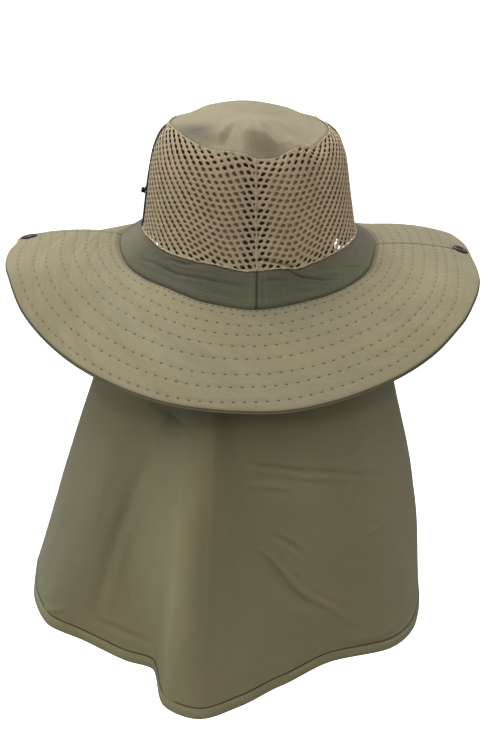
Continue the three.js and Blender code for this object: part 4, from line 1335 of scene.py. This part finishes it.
# Creases of the flap: width, height (below 0 is a valley), painted shade (below 0,
# painted light), and points as (across, down)
FLAP_CREASES = [
    (3.6, -1.2, 0.05, [(0.36, 0.4), (0.333, 0.5), (0.32, 0.57), (0.307, 0.63), (0.297, 0.71),
     (0.287, 0.815), (0.28, 0.9)]),
    (2.4, -1.4, 0.22, [(0.355, 0.265), (0.403, 0.285), (0.437, 0.3), (0.465, 0.31)]),
    (10.0, 1.3, 0, [(0.475, 0.3), (0.483, 0.43), (0.48, 0.555), (0.48, 0.7), (0.483, 0.855),
     (0.477, 0.98)]),
    (24.0, 0, -0.19, [(0.42, 0.45), (0.405, 0.52), (0.4, 0.6), (0.403, 0.68), (0.413, 0.75), (0.427, 0.85),
     (0.43, 0.99)]),
    (15.0, 0, -0.24, [(0.495, 0.3), (0.49, 0.43), (0.472, 0.53), (0.463, 0.63), (0.46, 0.73), (0.46, 0.83),
     (0.46, 1.0)]),
    (9.0, 0, 0.16, [(0.515, 0.42), (0.52, 0.55), (0.52, 0.63), (0.523, 0.73), (0.527, 0.83), (0.53, 1.0)]),
    (2.0, -0.8, 0, [(0.28, 0.92), (0.323, 0.92), (0.38, 0.93)]),
    (1.5, -1.1, 0.16, [(0.623, 0.4), (0.647, 0.41), (0.713, 0.425), (0.76, 0.435), (0.8, 0.46),
     (0.845, 0.485)]),
    (1.8, 0.7, -0.05, [(0.7, 0.438), (0.743, 0.445), (0.785, 0.462)]),
    (1.8, 0.9, -0.07, [(0.615, 0.458), (0.647, 0.46), (0.67, 0.465), (0.7, 0.47)]),
    (1.5, 1.0, -0.06, [(0.795, 0.475), (0.78, 0.505), (0.765, 0.555)]),
    (1.5, -1.1, 0.14, [(0.665, 0.595), (0.69, 0.62), (0.71, 0.655)]),
    (1.7, 1.3, 0, [(0.64, 0.63), (0.66, 0.655), (0.67, 0.68), (0.683, 0.71), (0.693, 0.74), (0.71, 0.78),
     (0.735, 0.825), (0.765, 0.9)]),
    (4.5, -0.9, 0.09, [(0.65, 0.65), (0.667, 0.71), (0.69, 0.765), (0.72, 0.825)]),
    (1.6, 0.7, -0.05, [(0.79, 0.63), (0.803, 0.625), (0.82, 0.615)]),
    (1.8, 0.8, -0.06, [(0.18, 0.975), (0.207, 0.945), (0.225, 0.925)]),
    (1.8, -0.9, 0.1, [(0.74, 0.96), (0.783, 0.975), (0.817, 0.96), (0.87, 0.93)]),
    (6.0, -1.2, 0, [(0.05, 0.35), (0.09, 0.5), (0.08, 0.66)]),
    (7.0, 1.0, 0, [(0.15, 0.42), (0.18, 0.6), (0.16, 0.8)]),
    (6.0, -1.0, 0, [(0.95, 0.4), (0.93, 0.58), (0.95, 0.78)]),
]


def make_flap():
    across = np.linspace(0, 1, FLAP_ACROSS)
    across = across + 0.055 * np.sin(2 * math.pi * across)
    down = np.concatenate([np.linspace(0, FLAP_HIDDEN, 14)[:-1], np.linspace(FLAP_HIDDEN, 1, FLAP_DOWN - 13)])
    u, v = np.meshgrid(across, down)
    skin = flap(u, v)
    normal = normals_of(skin)
    if normal[FLAP_DOWN // 2, FLAP_ACROSS // 2, 1] > 0:
        normal = -normal
    push, tone = creased(skin, FLAP_CREASES, flap)
    skin = skin + normal * (push * smooth(0, 0.05, v) * (1 - 0.7 * smooth(0.94, 0.99, v)))[..., None]
    inner = skin - normal * FLAP
    # painted shadow under the brim over the flap's upper part, deepest just below the brim's edge, and
    # painted shade in a strip on the left
    tone = tone * (1 - 0.12 * (1 - smooth(0.3, 0.48, v))) * (1 - 0.08 * bell(u - 0.2, 0.12))
    tone = tone * (1 - 0.16 * bell(v - 0.25, 0.05) * bell(u - 0.56, 0.2))
    tone = tone * (1 - 0.2 * (1 - smooth(0.285, 0.325, v)))
    tone = tone * (1 - 0.36 * bell(v - 0.295, 0.05) * bell(u - 0.41, 0.04))
    widths = np.linalg.norm(np.diff(skin, axis=1), axis=-1).sum(1)
    drops = np.linalg.norm(np.diff(skin, axis=0), axis=-1).sum(0)
    cloth = np.stack([(u - 0.5) * widths[:, None], v * drops[None, :], u * 0], -1)
    piece = add_wall("flap_cloth", skin, inner, FLAP_CLOTH, cloth, tone, "neck_flap")
    hem = make_hem()


# Section of the bound edge: share of its height up, and how far it stands off the cloth
HEM_SECTION = [(1.14, 0.02), (1.12, 0.12), (1.0, 0.13), (0.98, 0.45), (0.9, 0.72), (0.6, 0.75), (0.35, 0.75),
               (0.12, 0.68), (0.0, 0.4), (-0.04, 0.0)]
# Painted shade of the bound edge's rings: a dark line in the gap just above it, and a painted highlight on
# its upper roll
HEM_PAINTED_SHADE = [0.3, 0.3, 0.35, 0.8, 1.25, 1.08, 1.0, 1.0, 0.95, 0.9]


def make_hem():
    count = 420
    across = np.linspace(0, 1, count)
    foot = flap(across, 1.0)
    high = flap(across, 0.955)
    along = np.gradient(foot, axis=0)
    upward = unit(high - foot)
    normal = unit(np.cross(along, upward))
    if normal[count // 2, 1] > 0:
        normal = -normal
    foot = foot - upward * 1.2
    ends = smooth(0.06, 0.16, across) * smooth(0.06, 0.13, 1 - across)
    swell = (1 + 0.12 * wavy(count, 41, 5)) * (0.12 + 0.88 * ends)
    rings = []
    for side, base, section in ((1, 0.0, HEM_SECTION), (-1, -FLAP, HEM_SECTION[::-1])):
        for share, stand in section:
            off = (base + side * stand * swell)[:, None]
            rings.append(foot + upward * (share * HEM + 0.2) + normal * off)
    grid = np.stack(rings, 1)
    size = grid.shape[1]
    faces = capped_faces(count, size)
    run = np.repeat(lengths_along(foot), size)
    cloth = np.stack([run, np.tile(np.arange(size) * 1.1, count), run * 0], -1)
    shade = np.tile([*HEM_PAINTED_SHADE, *HEM_PAINTED_SHADE[::-1]], count)
    hem = add_piece("flap_binding", grid, faces, FLAP_CLOTH, cloth, shade, ["flap_hem"])
    line = foot + upward * (0.84 * HEM) + normal * 0.72
    points, thread_faces = stitches([(line, normal)], 3.0, 2.3, 0.18, 0.05)
    thread = add_piece("binding_stitching", points, thread_faces, FLAP_THREAD)
    return [hem, thread]


# Stage


def make_stage():
    mesh = bpy.data.meshes.new("floor")
    half = 12.0
    level = -0.52
    mesh.from_pydata([(-half, -half, level), (half, -half, level), (half, half, level), (-half, half, level)],
                     [], [(0, 1, 2, 3)])
    floor = linked("floor", mesh)
    floor.visible_diffuse = False
    floor.visible_glossy = False
    g = Graph("floor_white")
    g.fill(g.shader, {
        "Base Color": (0.8, 0.8, 0.8, 1),
        "Roughness": 0.9,
        "Specular IOR Level": 0.0,
        "Emission Color": (1, 1, 1, 1),
        "Emission Strength": 1.0,
    })
    mesh.materials.append(g.material)


# Light of the room by height: from straight down to straight up
ROOM_LIGHT = [(0.0, 0.12), (0.45, 0.2), (0.55, 0.34), (0.75, 0.5), (1.0, 0.62)]
ROOM_COLOUR = (0.97, 0.98, 1.0)


def make_room():
    world = bpy.data.worlds.new("studio")
    world.use_nodes = True
    nodes = world.node_tree.nodes
    links = world.node_tree.links
    place = nodes.new("ShaderNodeTexCoord")
    parts = nodes.new("ShaderNodeSeparateXYZ")
    links.new(place.outputs["Generated"], parts.inputs[0])
    height = nodes.new("ShaderNodeMapRange")
    height.inputs["From Min"].default_value = -1.0
    links.new(parts.outputs[2], height.inputs["Value"])
    ramp = nodes.new("ShaderNodeValToRGB")
    ramp.color_ramp.interpolation = "EASE"
    while len(ramp.color_ramp.elements) < len(ROOM_LIGHT):
        ramp.color_ramp.elements.new(0.5)
    for element, (at, strength) in zip(ramp.color_ramp.elements, ROOM_LIGHT):
        element.position = at
        element.color = (*(strength * c for c in ROOM_COLOUR), 1)
    links.new(height.outputs["Result"], ramp.inputs["Fac"])
    background = nodes["Background"]
    links.new(ramp.outputs["Color"], background.inputs["Color"])
    background.inputs["Strength"].default_value = 1.0
    bpy.context.scene.world = world
    bpy.context.scene.view_settings.view_transform = "Standard"


# Lights: place, aim, size, power and colour
LIGHTS = [
    ("key", (-0.35, 0.95, 1.55), (0, 0, 0), 1.3, 25.0, (1.0, 0.99, 0.96)),
    ("left", (-1.9, -0.7, 0.7), (0, 0, -0.08), 0.9, 13.0, (0.93, 0.98, 1.0)),
    ("front", (0.7, -2.2, 1.2), (0, 0, -0.08), 1.2, 12.5, (1.0, 0.98, 0.92)),
]


def make_lights():
    for name, place, aim, size, power, colour in LIGHTS:
        data = bpy.data.lights.new(name, "AREA")
        data.shape = "DISK"
        data.size = size
        data.energy = power
        data.color = colour
        light = linked(name, data)
        light.location = place
        light.rotation_mode = "QUATERNION"
        light.rotation_quaternion = (Vector(aim) - Vector(place)).to_track_quat("-Z", "Y")


make_camera()
make_stage()
make_room()
make_lights()
make_tip()
net_panel("net_left", -1, "mesh_left")
net_panel("net_right", 1, "mesh_right")
make_net_edges()
make_lining()
make_tapes()
make_band()
make_brim()
make_snaps()
make_flap()

bpy.context.view_layer.update()
